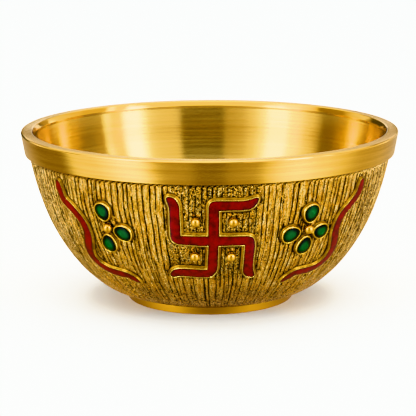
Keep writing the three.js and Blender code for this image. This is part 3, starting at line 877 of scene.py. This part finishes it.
stud_places = []
for x, y in STUDS:
    s_ = SWASTIK_AT[1] - y
    stud_places.append((SWASTIK_AT[0] + math.degrees(x / float(wall(s_)[0])), s_))


# ------------------------------------------------------------------- bowl shell
GROOVES = 200
ACROSS = (-0.30, -0.18, 0.0, 0.18, 0.30)  # mesh columns of a groove, mm from its middle at the rim
COLUMNS = GROOVES * 6  # and one on each ridge
ROWS = 66
SEAM = 0.25  # the columns start at the bowl's side


def bark():
    """Mesh columns that follow the cast grooves: turn, mm down the wall, height and darkness of each point."""
    rng = np.random.default_rng(20)
    s = np.concatenate([[-1.35], np.linspace(0.0, 58.4, ROWS - 1)])
    r = wall(s)[0]
    full = 2 * math.pi * 60.0
    gaps = rng.uniform(0.76, 1.28, GROOVES)
    at = np.cumsum(gaps) / gaps.sum()
    A, S = np.meshgrid(at, s, indexing="ij")
    middle = A + (0.6 * smooth_field(rng, A, S, 15.0, 15.0) + 0.22 * smooth_field(rng, A, S, 5.0, 6.0)) / full
    for k in range(GROOVES):
        middle[k] += 0.07 * smooth_line(rng, s, 3.2) / full
    width = np.zeros_like(middle)
    depth = np.zeros_like(middle)
    for k in range(GROOVES):
        width[k] = rng.uniform(0.7, 1.3) * (1 + 0.2 * smooth_line(rng, s, 2.3))
        kind = rng.uniform()
        lo, hi = -9.0, 99.0
        if kind < 0.22:
            hi = rng.uniform(22, 54)
        elif kind < 0.28:
            lo = rng.uniform(3, 24)
        elif kind < 0.34:
            lo = rng.uniform(0, 14)
            hi = lo + rng.uniform(14, 34)
        fade = ramp(s, lo, lo + 2.0) * (1 - ramp(s, hi - 3.0, hi))
        breaks = 1 - 0.8 * ramp(smooth_line(rng, s, 2.6), 0.66, 0.86)
        depth[k] = rng.uniform(0.5, 0.9) * (0.84 + 0.26 * smooth_line(rng, s, 3.4)) * fade * breaks
    depth *= 1 - 0.3 * ramp(S, 40, 56)
    # wider furrows at the sides, away from the applied pieces
    side = 1 - ramp(np.abs(np.cos((middle + SEAM) * 2 * math.pi)), 0.35, 0.85)
    width *= 1 + 0.5 * side
    depth *= 1 + 0.2 * side

    turn = np.zeros((COLUMNS, ROWS))
    height = np.zeros((COLUMNS, ROWS))
    dark = np.zeros((COLUMNS, ROWS))
    sink = (0.14, 0.78, 1.0, 0.78, 0.14)
    ridge_height = 0.10 * smooth_field(rng, A, S, 1.9, 12.0) - 0.05
    for q, off in enumerate(ACROSS):
        turn[q::6] = middle + off * width / full
        lump = 0.045 * rng.uniform(-1, 1, A.shape)
        height[q::6] = ridge_height - 0.06 - depth * sink[q] + lump
        dark[q::6] = np.clip(depth * (0.1, 1.5, 1.7, 1.5, 0.1)[q], 0, 1.15)
    edge_r = middle + ACROSS[4] * width / full
    edge_l = np.roll(middle + ACROSS[0] * width / full, -1, 0)
    edge_l[-1] += 1.0
    scratch = np.zeros_like(middle)
    for k in range(GROOVES):
        lo = rng.uniform(-10, 45)
        run = ramp(s, lo, lo + 1.5) * (1 - ramp(s, lo + rng.uniform(5, 22), lo + 24))
        scratch[k] = rng.uniform(0.12, 0.42) * run * (rng.uniform() < 0.45) * (0.75 + 0.4 * smooth_line(rng, s, 2.4))
    place = 0.5 + rng.uniform(-0.12, 0.12, GROOVES)[:, None]
    turn[5::6] = edge_r + (edge_l - edge_r) * place
    lump = 0.06 * rng.uniform(-1, 1, A.shape)
    height[5::6] = 0.5 * (ridge_height + np.roll(ridge_height, -1, 0)) + 0.07 - scratch + lump
    dark[5::6] = scratch * 1.9
    # rows of the hidden top edge are evenly spaced
    even = (np.arange(COLUMNS) + 0.5) / COLUMNS
    turn -= turn[0, 0] - even[0]
    turn[:, 0] = even
    turn += SEAM
    return turn, s, height, dark, rng


def motif_distance(points):
    """Distance from points on the wall to the nearest applied piece's outer edge, in mm."""
    marks = []
    sw = swastik_outline + normals_of(swastik_outline) * 1.1
    # fill the stretches that were left clear beside inner corners
    dense = []
    for i in range(len(sw)):
        a, b = sw[i], sw[(i + 1) % len(sw)]
        k = max(1, int(np.linalg.norm(b - a) / 0.4))
        dense.extend(a + (b - a) * j / k for j in range(k))
    sw = np.array(dense)
    marks.append(wrap(SWASTIK_AT, sw[:, 0], sw[:, 1], 0.0))
    for o in wave_outlines.values():
        p = o + normals_of(o, wave_scale) * 0.8
        marks.append(place_wave(p[:, 0], p[:, 1], 0.0))
    th = np.arange(48) * 2 * math.pi / 48
    for at, petals in FLOWERS.values():
        for petal in petals:
            marks.append(petal_map(at, petal, np.ones(48), th, 1.05, np.zeros(48)))
        marks.append(wrap(at, 1.35 * np.cos(th), 1.35 * np.sin(th), np.zeros(48)))
    for x, y in STUDS:
        marks.append(wrap(SWASTIK_AT, x + 1.35 * np.cos(th), y + 1.35 * np.sin(th), np.zeros(48)))
    marks = np.vstack(marks)
    marks = np.vstack([marks, marks * [-1, -1, 1]])
    tree = kdtree.KDTree(len(marks))
    for i, p in enumerate(marks):
        tree.insert(p, i)
    tree.balance()
    return np.array([tree.find(p)[2] for p in points])


def in_quarters(turn, s):
    """1 inside the swastik's quarters, where the ground is stippled, on the front and on the back."""
    out = np.zeros_like(turn)
    for side in (0.0, 180.0):
        az = np.mod(turn * 360.0 - SWASTIK_AT[0] - side + 180.0, 360.0) - 180.0
        x = np.radians(az) * wall(s)[0]
        y = SWASTIK_AT[1] - s
        box = (1 - ramp(np.abs(x), 12.5, 15.0)) * (1 - ramp(-y, 12.0, 18.0))
        out = np.maximum(out, box)
    return out


def shell():
    n, rows = COLUMNS, ROWS
    turn, s, d, dark, rng = bark()
    S = np.broadcast_to(s, turn.shape)
    flat = on_wall(turn * 360.0, S, 0.0)
    near = motif_distance(flat.reshape(-1, 3)).reshape(turn.shape)
    # 1 at the front and the back, 0 at the sides
    facing = ramp(np.abs(np.cos(turn * 2 * math.pi)), 0.6, 0.9)
    stipple = np.maximum(in_quarters(turn, S), 0.55 * ramp(S, 34, 50) * facing)
    # stippled ground: grooves are weaker, small pits and bumps take their place
    d = d * (1 - 0.4 * stipple) + stipple * rng.uniform(-0.10, 0.05, d.shape)
    dark = dark * (1 - 0.35 * stipple)
    d = d + 0.16
    # the ground dips beside each applied piece
    collar = 1 - ramp(near, 0.2, 0.9)
    d = np.minimum(d, 0.16 - 0.36 * collar)
    # painted shade: the wall right beside each applied piece is painted dark, for the shade at the pieces' foot; it
    # shares one attribute with the groove patina
    dark = np.maximum(dark, 0.75 * (1 - ramp(near, 0.05, 0.55)) * (near < 3))
    keep = ramp(S, 55.6, 57.8)
    d = d * (1 - keep) + (-0.05) * keep
    dark = dark * (1 - 0.7 * ramp(S, 54.5, 57.5))
    d = np.clip(d, -0.85, 0.30)
    pts = on_wall(turn * 360.0, S, d).transpose(1, 0, 2)  # rows down the wall, columns round it

    verts = list(pts.reshape(-1, 3))
    values = list(dark.T.reshape(-1))
    grainy = list(stipple.T.reshape(-1))
    unrolled = list(turn.T.reshape(-1))
    faces, tag = [], []
    for i in range(rows - 1):
        a = np.arange(n) + i * n
        b = (np.arange(n) + 1) % n + i * n
        faces.extend(zip(a, a + n, b + n, b))
        tag.extend([0] * n)
    # coarser rings for the lip, the inside and the underside
    c = GROOVES
    step = n // c

    def ring(r, z, angles=None):
        start = len(verts)
        ang = (np.arange(c) / c + SEAM + 0.5 / n) * 2 * math.pi if angles is None else angles
        verts.extend(zip(r * np.sin(ang), -r * np.cos(ang), np.full(c, z)))
        values.extend([0.0] * c)
        grainy.extend([0.0] * c)
        return list(range(start, start + c))

    def join_fine(fine, coarse, flip, mat):
        for j in range(c):
            j2 = (j + 1) % c
            f = [fine[(step * j + q) % n] for q in range(step + 1)]
            tri = []
            for q in range(step):
                tri.append((coarse[j] if q < step // 2 + 1 else coarse[j2], f[q], f[q + 1]))
                if q == step // 2:
                    tri.append((coarse[j], f[q + 1], coarse[j2]))
            faces.extend([t[::-1] for t in tri] if flip else tri)
            tag.extend([mat] * len(tri))

    def join_rings(lo, hi, mat):
        for j in range(c):
            j2 = (j + 1) % c
            faces.append((lo[j], lo[j2], hi[j2], hi[j]))
            tag.append(mat)

    top = list(range(n))
    last = list(range((rows - 1) * n, rows * n))
    lip_ring = None
    lip_low = ring(LIP_R - 0.12, 50.75)
    join_fine(top, lip_low, True, 1)
    seq = [lip_low]
    prof = [(LIP_R - 0.12, 55.05), (LIP_R - 0.3, LIP_Z)]
    inner = inside_profile()
    for r, z in prof:
        nxt = ring(r, z)
        join_rings(seq[-1], nxt, 1)
        seq.append(nxt)
    for r, z in inner:
        nxt = ring(r, z)
        join_rings(seq[-1], nxt, 1)
        seq.append(nxt)
        lip_ring = lip_ring or nxt
    centre = len(verts)
    verts.append((0, 0, INSIDE[0][1]))
    values.append(0.0)
    grainy.append(0.0)
    for j in range(c):
        faces.append((seq[-1][j], seq[-1][(j + 1) % c], centre))
        tag.append(1)
    # underside, from the foot of the wall inwards
    low = ring(28.55, UNDERSIDE_Z, turn[::step, -1] * 2 * math.pi)
    join_fine(last, low, False, 2)
    prev = low
    under = rounded(
        [(SPIGOT_R, UNDERSIDE_Z), (SPIGOT_R, SPIGOT_Z), (SPIGOT_IN_R, SPIGOT_Z), (SPIGOT_IN_R, UNDERSIDE_Z)],
        [0, 0.2, 0.2, 0], 3)
    under += [(20.0, UNDERSIDE_Z), (12.0, UNDERSIDE_Z + 0.02), (11.6, UNDERSIDE_Z + 0.12), (11.2, UNDERSIDE_Z + 0.02),
              (5.0, UNDERSIDE_Z), (1.2, UNDERSIDE_Z), (0.7, UNDERSIDE_Z + 0.25)]
    for r, z in under:
        nxt = ring(r, z)
        for j in range(c):
            j2 = (j + 1) % c
            faces.append((prev[j2], prev[j], nxt[j], nxt[j2]))
            tag.append(2)
        prev = nxt
    centre = len(verts)
    verts.append((0, 0, UNDERSIDE_Z + 0.45))
    values.append(0.0)
    grainy.append(0.0)
    for j in range(c):
        faces.append((prev[(j + 1) % c], prev[j], centre))
        tag.append(2)

    verts_ = np.array(verts, float)
    tag_ = np.array(tag)
    wall_turn = np.array(unrolled)

    def uv(mesh, loops):
        """The wall unrolled over the upper part of the square, the rest seen from above and below."""
        co = verts_[loops]
        sizes = np.array([len(f) for f in faces])
        face_of = np.repeat(np.arange(len(faces)), sizes)
        t = tag_[face_of]
        fine = loops < rows * n
        a = np.where(fine, wall_turn[np.minimum(loops, rows * n - 1)] - SEAM, 0)
        # faces across the seam keep to one side
        starts_ = np.cumsum(sizes) - sizes
        first = a[starts_[face_of]]
        a = np.where(a - first > 0.5, a - 1.0, np.where(a - first < -0.5, a + 1.0, a))
        out = np.zeros((len(loops), 2))
        wall_row = np.clip(loops // n, 0, rows - 1)
        down = (np.maximum(s[wall_row], -1.0) + 1.0) / 59.5
        out[:, 0] = 0.006 + 0.988 * a
        out[:, 1] = 0.995 - 0.40 * down
        rr = np.hypot(co[:, 0], co[:, 1])
        for kind, cx in ((1, 0.25), (2, 0.75)):
            here = t == kind
            if kind == 1:
                along = np.where(co[:, 2] > 4.0, rr + 0.9 * (co[:, 2] - 4.9), rr)
                k = 0.24 / 106.0
            else:
                along = rr
                k = 0.24 / 63.0
            th = np.arctan2(co[:, 0], -co[:, 1])
            out[here, 0] = cx + (along * k * np.sin(th))[here]
            out[here, 1] = 0.27 - (along * k * np.cos(th))[here]
        return out

    run = np.zeros(len(verts_))
    run[:rows * n] = np.repeat(s, n)
    piece = make("bowl_shell_fine", verts_, faces, [antique, inside_brass, under_brass], tag_,
                 {"cavity": values, "run": run, "stipple": grainy}, sharp=None, uv=uv)
    # the lip's inner edge is a crisp corner
    mesh = piece.data
    ends = np.zeros(2 * len(mesh.edges), np.int32)
    mesh.edges.foreach_get("vertices", ends)
    ends = ends.reshape(-1, 2)
    crisp = np.zeros(len(mesh.edges), bool)
    for one in (lip_ring, seq[2]):
        crisp |= ((ends >= one[0]) & (ends <= one[-1])).all(1)
    mesh.edges.foreach_set("use_edge_sharp", crisp)
    mesh.update()
    return piece


def inside_profile():
    """Inside of the bowl from the lip to near the centre, as a smooth line through INSIDE."""
    p = np.array(INSIDE[::-1], float)
    t = np.concatenate([[0], np.cumsum(np.linalg.norm(np.diff(p, axis=0), axis=1))])
    m = np.gradient(p, t, axis=0)
    tt = np.concatenate([[0.0], np.linspace(0.5, t[-1] - 0.8, 27)])
    i = np.clip(np.searchsorted(t, tt, side="right") - 1, 0, len(t) - 2)
    h = (t[i + 1] - t[i])[:, None]
    x = ((tt - t[i])[:, None]) / h
    q = ((2 * x**3 - 3 * x * x + 1) * p[i] + (x**3 - 2 * x * x + x) * h * m[i] + (-2 * x**3 + 3 * x * x) * p[i + 1]
         + (x**3 - x * x) * h * m[i + 1])
    return [(float(a), float(b)) for a, b in q]


def finish_piece(piece, node):
    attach(piece, "root")
    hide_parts(node)
    return piece


def turned_about(piece, name):
    """A copy of a piece on the other side of the bowl."""
    mesh = piece.data.copy()
    mesh.name = name
    mesh.transform(Matrix.Rotation(math.pi, 4, "Z"))
    mesh.update()
    other = bpy.data.objects.new(name, mesh)
    bpy.context.scene.collection.objects.link(other)
    return other


finish_piece(shell(), "bowl_shell")

# ---------------------------------------------------------- rim band, foot ring
band = rounded(
    [
        (58.99, LIP_Z + 0.02), (59.03, 56.15), (RIM_INNER_R + 0.27, HEIGHT), (RIM_R + 0.12, HEIGHT),
        (BAND_LOW_R - 0.02, BAND_LOW_Z), (LIP_R + FIT, BAND_LOW_Z), (LIP_R + FIT, LIP_Z + FIT),
    ],
    [0, 0.35, 0.4, 0.66, 0.3, 0.1, 0.1], 8)
v, f, ring_of = lathe(band, 384)
side_of = [1 if k <= 4 else 2 if 5 <= k <= 17 or 19 <= k <= 26 else 0 for k in ring_of]
finish_piece(make("rim_band_fine", v, f, [brushed, inside_brass, edge_brass], side_of, sharp=35), "rim_band")

foot = rounded(
    [
        (SPIGOT_R + FIT, 0.0), (FOOT_BASE_R, 0.0), (FOOT_TOP_R, FOOT_H), (SPIGOT_R + FIT, FOOT_H),
    ],
    [0.2, 0.35, 0.3, 0.1], 6)
v, f, _ = lathe(foot, 320)
finish_piece(make("foot_ring_fine", v, f, [foot_brass], sharp=35), "foot_ring")


# --------------------------------------------------------------- applied pieces
def place_swastik(x, y, h):
    return wrap(SWASTIK_AT, x, y, h)


def enamel_top(seed, edge, middle):
    rng = np.random.default_rng(seed)
    waves = [(rng.uniform(0.2, 1.1), rng.uniform(0, math.pi), rng.uniform(0, 6)) for _ in range(10)]

    def top(p, depth):
        h = edge + (middle - edge) * np.sin(np.clip(depth / 1.25, 0, 1) * math.pi / 2)
        for k, a, ph in waves:
            h = h + 0.004 * np.sin(k * 2 * (p[:, 0] * math.cos(a) + p[:, 1] * math.sin(a)) + ph)
        return h

    return top


def both(piece, node, slot_name):
    finish_piece(piece, node + "_front")
    finish_piece(turned_about(piece, piece.name.replace("_front", "_back")), node + "_back")


swastik_line = swastik_outline + normals_of(swastik_outline) * 0.15
both(cloison("swastik_frame_fine_front", swastik_line, place_swastik, bright, SWASTIK_SECTION, seed=4),
     "swastik_frame", "bright_brass")
both(fill("swastik_enamel_fine_front", swastik_line, place_swastik, red, enamel_top(5, 0.67, 0.74), gap=0.01),
     "swastik_enamel", "red_enamel")
for side, outline in wave_outlines.items():
    outline = outline + normals_of(outline, wave_scale) * 0.2
    both(cloison(f"wave_frame_{side}_fine_front", outline, place_wave, bright, WAVE_SECTION, wave_scale, 6),
         f"wave_frame_{side}", "bright_brass")
    both(fill(f"wave_enamel_{side}_fine_front", outline, place_wave, red, enamel_top(7, 0.68, 0.73), wave_scale,
              gap=0.01), f"wave_enamel_{side}", "red_enamel")

CUP = [
    (0, 0, SINK), (0.6, 0, SINK), (1, 0, SINK), (1, 0.6, SINK), (1, 1.05, SINK), (1, 1.05, -0.22), (1, 0.94, -0.1),
    (1, 0.72, 0.02), (1, 0.60, 0.18), (1, 0.54, 0.42), (1, 0.49, 0.66), (1, 0.43, 0.85), (1, 0.35, 0.97), (1, 0.26, 1.02),
    (1, 0.18, 1.01), (1, 0.12, 0.97), (1, 0.09, 0.88), (1, 0.08, 0.7), (1, 0.08, 0.42), (0.94, 0, 0.36), (0.6, 0, 0.36),
    (0, 0, 0.36),
]
DOME = [
    (0, 0, 0.4), (0.6, 0, 0.4), (0.96, 0, 0.42), (1.0, 0.04, 0.5), (1.0, 0.06, 0.68), (0.98, 0, 0.80), (0.94, 0, 0.86),
    (0.88, 0, 0.93), (0.8, 0, 0.99), (0.7, 0, 1.05), (0.58, 0, 1.1), (0.44, 0, 1.15), (0.3, 0, 1.18), (0.15, 0, 1.2),
    (0, 0, 1.21),
]
BALL = [(0, 0, -PIN_DEPTH), (0, PIN_R - 0.08, -PIN_DEPTH), (0, PIN_R, -PIN_DEPTH + 0.1), (0, PIN_R, SINK),
        (0, 0.95, SINK), (0, 1.08, -0.3)]
for a in range(-36, 90, 7):
    BALL.append((0, STUD_R * math.cos(math.radians(a)), STUD_H + STUD_R * math.sin(math.radians(a))))
BALL.append((0, 0, STUD_H + STUD_R))


def ball_map(az, s):
    """Round bodies stand straight on the wall at one place; up is -1 at a ball's lowest point, 1 at its highest."""
    r, z, nr, nz = (float(q) for q in wall(s))
    a = math.radians(az)
    origin = np.array([r * math.sin(a), -r * math.cos(a), z])
    out = np.array([nr * math.sin(a), -nr * math.cos(a), nz])
    right = np.array([math.cos(a), math.sin(a), 0.0])
    up = np.cross(out, right)

    middle = origin + out * STUD_H

    def mapping(rho, theta, beyond, h):
        rad = beyond + rho * 0
        return (origin + right * (rad * np.cos(theta))[:, None] + up * (rad * np.sin(theta))[:, None]
                + out * np.asarray(h)[:, None])

    return mapping, ("up", lambda verts, _: (verts[:, 2] - middle[2]) / STUD_R)


for i, (az, s) in enumerate(stud_places):
    ball, up = ball_map(az, s)
    both(rings(ball, BALL, 40, f"swastik_stud_{i + 1}_fine_front", studs_brass, second=up), f"swastik_stud_{i + 1}",
         "bright_brass")
for side, (at, petals) in FLOWERS.items():
    for i, petal in enumerate(petals):
        def petal_place(rho, theta, beyond, h, at=at, petal=petal):
            return petal_map(at, petal, rho, theta, beyond, h)

        both(rings(petal_place, CUP, 72, f"petal_bezel_{side}_{i + 1}_fine_front", bright), f"petal_bezel_{side}_{i + 1}",
             "bright_brass")
        def outer_end(verts, rho, at=at, petal=petal):
            """How far each point lies towards the petal's outer end, -1 to 1."""
            place = wrap(at, *(petal[0] * q for q in (math.cos(math.radians(petal[1])),
                                                      math.sin(math.radians(petal[1])))), 0.9)
            tip = petal_map(at, petal, np.ones(1), np.zeros(1), 0.0, np.full(1, 0.9))[0]
            axis = (tip - place) / np.linalg.norm(tip - place)
            return (verts - place) @ axis / (petal[2] / 2)

        both(rings(petal_place, DOME, 72, f"petal_enamel_{side}_{i + 1}_fine_front", green, attribute="rho",
                   second=("tip", outer_end)), f"petal_enamel_{side}_{i + 1}", "green_enamel")
    ball, up = ball_map(*at)
    both(rings(ball, BALL, 40, f"flower_bead_{side}_fine_front", studs_brass, second=up), f"flower_bead_{side}",
         "bright_brass")

# ----------------------------------------------------------------------- studio
floor_mesh = bpy.data.meshes.new("floor")
floor_mesh.from_pydata([(-6, -6, 0), (6, -6, 0), (6, 6, 0), (-6, 6, 0)], [], [(0, 1, 2, 3)])
floor = bpy.data.objects.new("floor", floor_mesh)
bpy.context.scene.collection.objects.link(floor)
paper, n, s = material("studio_floor")
s.inputs["Base Color"].default_value = (0.925, 0.92, 0.895, 1)
s.inputs["Roughness"].default_value = 0.9
s.inputs["Specular IOR Level"].default_value = 0.0
floor_mesh.materials.append(paper)
floor.visible_glossy = False
floor.visible_diffuse = False


def studio():
    """Soft white boxes left and right of the camera, a white sweep behind, a dim room in front."""
    world = bpy.data.worlds.new("studio")
    bpy.context.scene.world = world
    world.use_nodes = True
    world.node_tree.nodes.clear()
    n = Nodes(world.node_tree)
    coords = n.new("ShaderNodeTexCoord").outputs["Generated"]
    parts = n.new("ShaderNodeSeparateXYZ")
    n.link(coords, parts.inputs[0])
    x, y, z = parts.outputs
    turn = n.math("ARCTAN2", x, n.math("MULTIPLY", y, -1.0))  # 0 in front of the bowl
    away = n.math("DIVIDE", n.math("ABSOLUTE", turn), math.pi)
    right = n.math("GREATER_THAN", x, 0.0)

    def light(value):
        """A grey of the given brightness, warmer when dim and cooler when bright."""
        k = min(max(math.log(value / 0.35) / math.log(10.0), -0.1), 1.1)
        return tuple(value / 18.0 * q for q in (1.0, 0.73 + 0.42 * k, 0.32 + 0.98 * k)) + (1,)

    def strip(stops, gain=1.0):
        """Brightness round one half of the room, as a ramp of degrees to brightness."""
        node = n.new("ShaderNodeValToRGB")
        n.link(away, node.inputs[0])
        el = node.color_ramp.elements
        while len(el) > 1:
            el.remove(el[0])
        el[0].position = 1.0
        for deg, value in stops:
            e = el[len(el) - 1] if deg == 180 else el.new(deg / 180)
            e.color = tuple(gain * q for q in light(value)[:3]) + (1,)
        return node.outputs[0]

    around_left = strip([
        (0, 0.10), (9, 0.10), (12, 0.55), (24, 0.8), (33, 1.4), (40, 2.9), (44, 7.0), (55, 7.0), (59, 3.2), (72, 1.6),
        (83, 0.8), (86, 0.25), (106, 0.30), (112, 0.6), (118, 0.8), (121, 1.6), (127, 1.6), (131, 0.4), (140, 0.33),
        (152, 0.31), (180, 0.25)], 1.5)
    around_right = strip([
        (0, 0.10), (19, 0.10), (22, 1.0), (36, 1.2), (44, 1.6), (48, 4.0), (51, 9.0), (60, 9.0), (64, 1.4),
        (72, 1.4), (74, 2.8), (77, 2.8), (80, 0.6), (100, 0.62), (118, 0.85), (124, 0.95), (127, 1.8), (134, 1.8),
        (138, 0.4), (150, 0.34), (180, 0.31)], 1.5)
    below_left = strip([
        (0, 0.235), (8, 0.24), (13, 0.44), (30, 0.52), (38, 0.95), (44, 2.6), (54, 3.0), (62, 2.2), (74, 1.35), (92, 1.45),
        (101, 0.26), (128, 0.27), (146, 0.56), (180, 0.72)])
    below_right = strip([
        (0, 0.23), (8, 0.24), (13, 0.44), (30, 0.52), (40, 1.2), (46, 1.9), (58, 2.3), (68, 1.9), (88, 1.15), (106, 0.66),
        (140, 0.64), (180, 0.72)])
    around = n.mix(right, around_left, around_right)
    below = n.mix(right, below_left, below_right)
    behind = n.ramp(y, 0.25, 0.5)
    # behind, brighter above a dim strip and a narrow dark gap
    bright_sky = n.math("MULTIPLY", behind, n.math("MULTIPLY", n.ramp(z, 0.18, 0.215), n.ramp(z, 0.36, 0.30)))
    around = n.mix(bright_sky, around, light(1.15))
    window = n.mix(right, n.ramp(away, 0.976, 0.984), n.ramp(away, 0.980, 0.990))
    window = n.math("MULTIPLY", window, n.math("MULTIPLY", n.ramp(z, 0.165, 0.18), n.ramp(z, 0.26, 0.23)))
    around = n.mix(window, around, light(3.0))
    dim_sky = n.math("MULTIPLY", behind, n.ramp(z, 0.30, 0.40))
    around = n.mix(dim_sky, around, light(0.6))
    gap = n.math("MULTIPLY", behind, n.math("MULTIPLY", n.ramp(z, -0.06, -0.02), n.ramp(z, 0.13, 0.09)))
    around = n.mix(n.math("MULTIPLY", gap, 0.8), around, (0.005, 0.0045, 0.003, 1))
    # overhead: a soft light, nearer to the front than to the back
    above = n.math("SUBTRACT", z, n.math("MULTIPLY", n.ramp(y, 0.0, 0.3), 0.17))
    upper = n.mix(n.ramp(z, 0.49, 0.57), around, light(1.6))
    upper = n.mix(n.ramp(above, 0.72, 0.80), upper, light(2.6))
    lower = n.mix(n.ramp(z, -0.7, -0.99), below, light(0.5))
    total = n.mix(n.ramp(z, -0.05, 0.02), lower, upper)
    corner = n.math("MULTIPLY", n.ramp(away, 0.745, 0.78), n.ramp(away, 0.93, 0.90))
    corner = n.math("MULTIPLY", corner, n.math("MULTIPLY", n.ramp(z, -0.06, -0.03), n.ramp(z, 0.26, 0.23)))
    corner = n.math("MULTIPLY", corner, n.math("SUBTRACT", 1.0, right))
    # the foot of the white sweep, all round
    sweep = n.math("MULTIPLY", n.ramp(z, -0.035, -0.015), n.ramp(z, 0.088, 0.07))
    total = n.mix(sweep, total, (0.08, 0.08, 0.079, 1))
    total = n.mix(corner, total, (0.005, 0.0045, 0.003, 1))
    bg = n.new("ShaderNodeBackground")
    n.link(total, bg.inputs[0])
    bg.inputs[1].default_value = 18.0
    out = n.new("ShaderNodeOutputWorld")
    n.link(bg.outputs[0], out.inputs[0])
    world.cycles.sampling_method = "MANUAL"
    world.cycles.sample_map_resolution = 512


studio()


def area(name, location, target, size, power, glossy=False):
    light = bpy.data.lights.new(name, "AREA")
    light.shape = "SQUARE"
    light.size = size
    light.energy = power
    ob = bpy.data.objects.new(name, light)
    ob.location = location
    ob.rotation_euler = (Vector(target) - Vector(location)).to_track_quat("-Z", "Y").to_euler()
    ob.visible_glossy = glossy
    bpy.context.scene.collection.objects.link(ob)
    return ob


area("overhead", (0, 0.1, 1.6), (0, 0, 0), 1.6, 98)

# ----------------------------------------------------------------------- camera
cam_data = bpy.data.cameras.new("camera")
cam_data.sensor_width = 36
cam_data.lens = 147.42
cam_data.clip_start = 0.01
cam_data.clip_end = 50
camera = bpy.data.objects.new("camera", cam_data)
bpy.context.scene.collection.objects.link(camera)
camera.matrix_world = (
    Matrix.Translation((0, -0.568113, 0.151296))
    @ Matrix.Rotation(math.radians(0.0641), 4, "Z")
    @ Matrix.Rotation(math.radians(77.93296), 4, "X")
    @ Matrix.Rotation(math.radians(-0.25355), 4, "Z")
)
bpy.context.scene.camera = camera

view = bpy.context.scene.view_settings
view.view_transform = "Khronos PBR Neutral"
view.exposure = 0.0

bpy.context.view_layer.update()
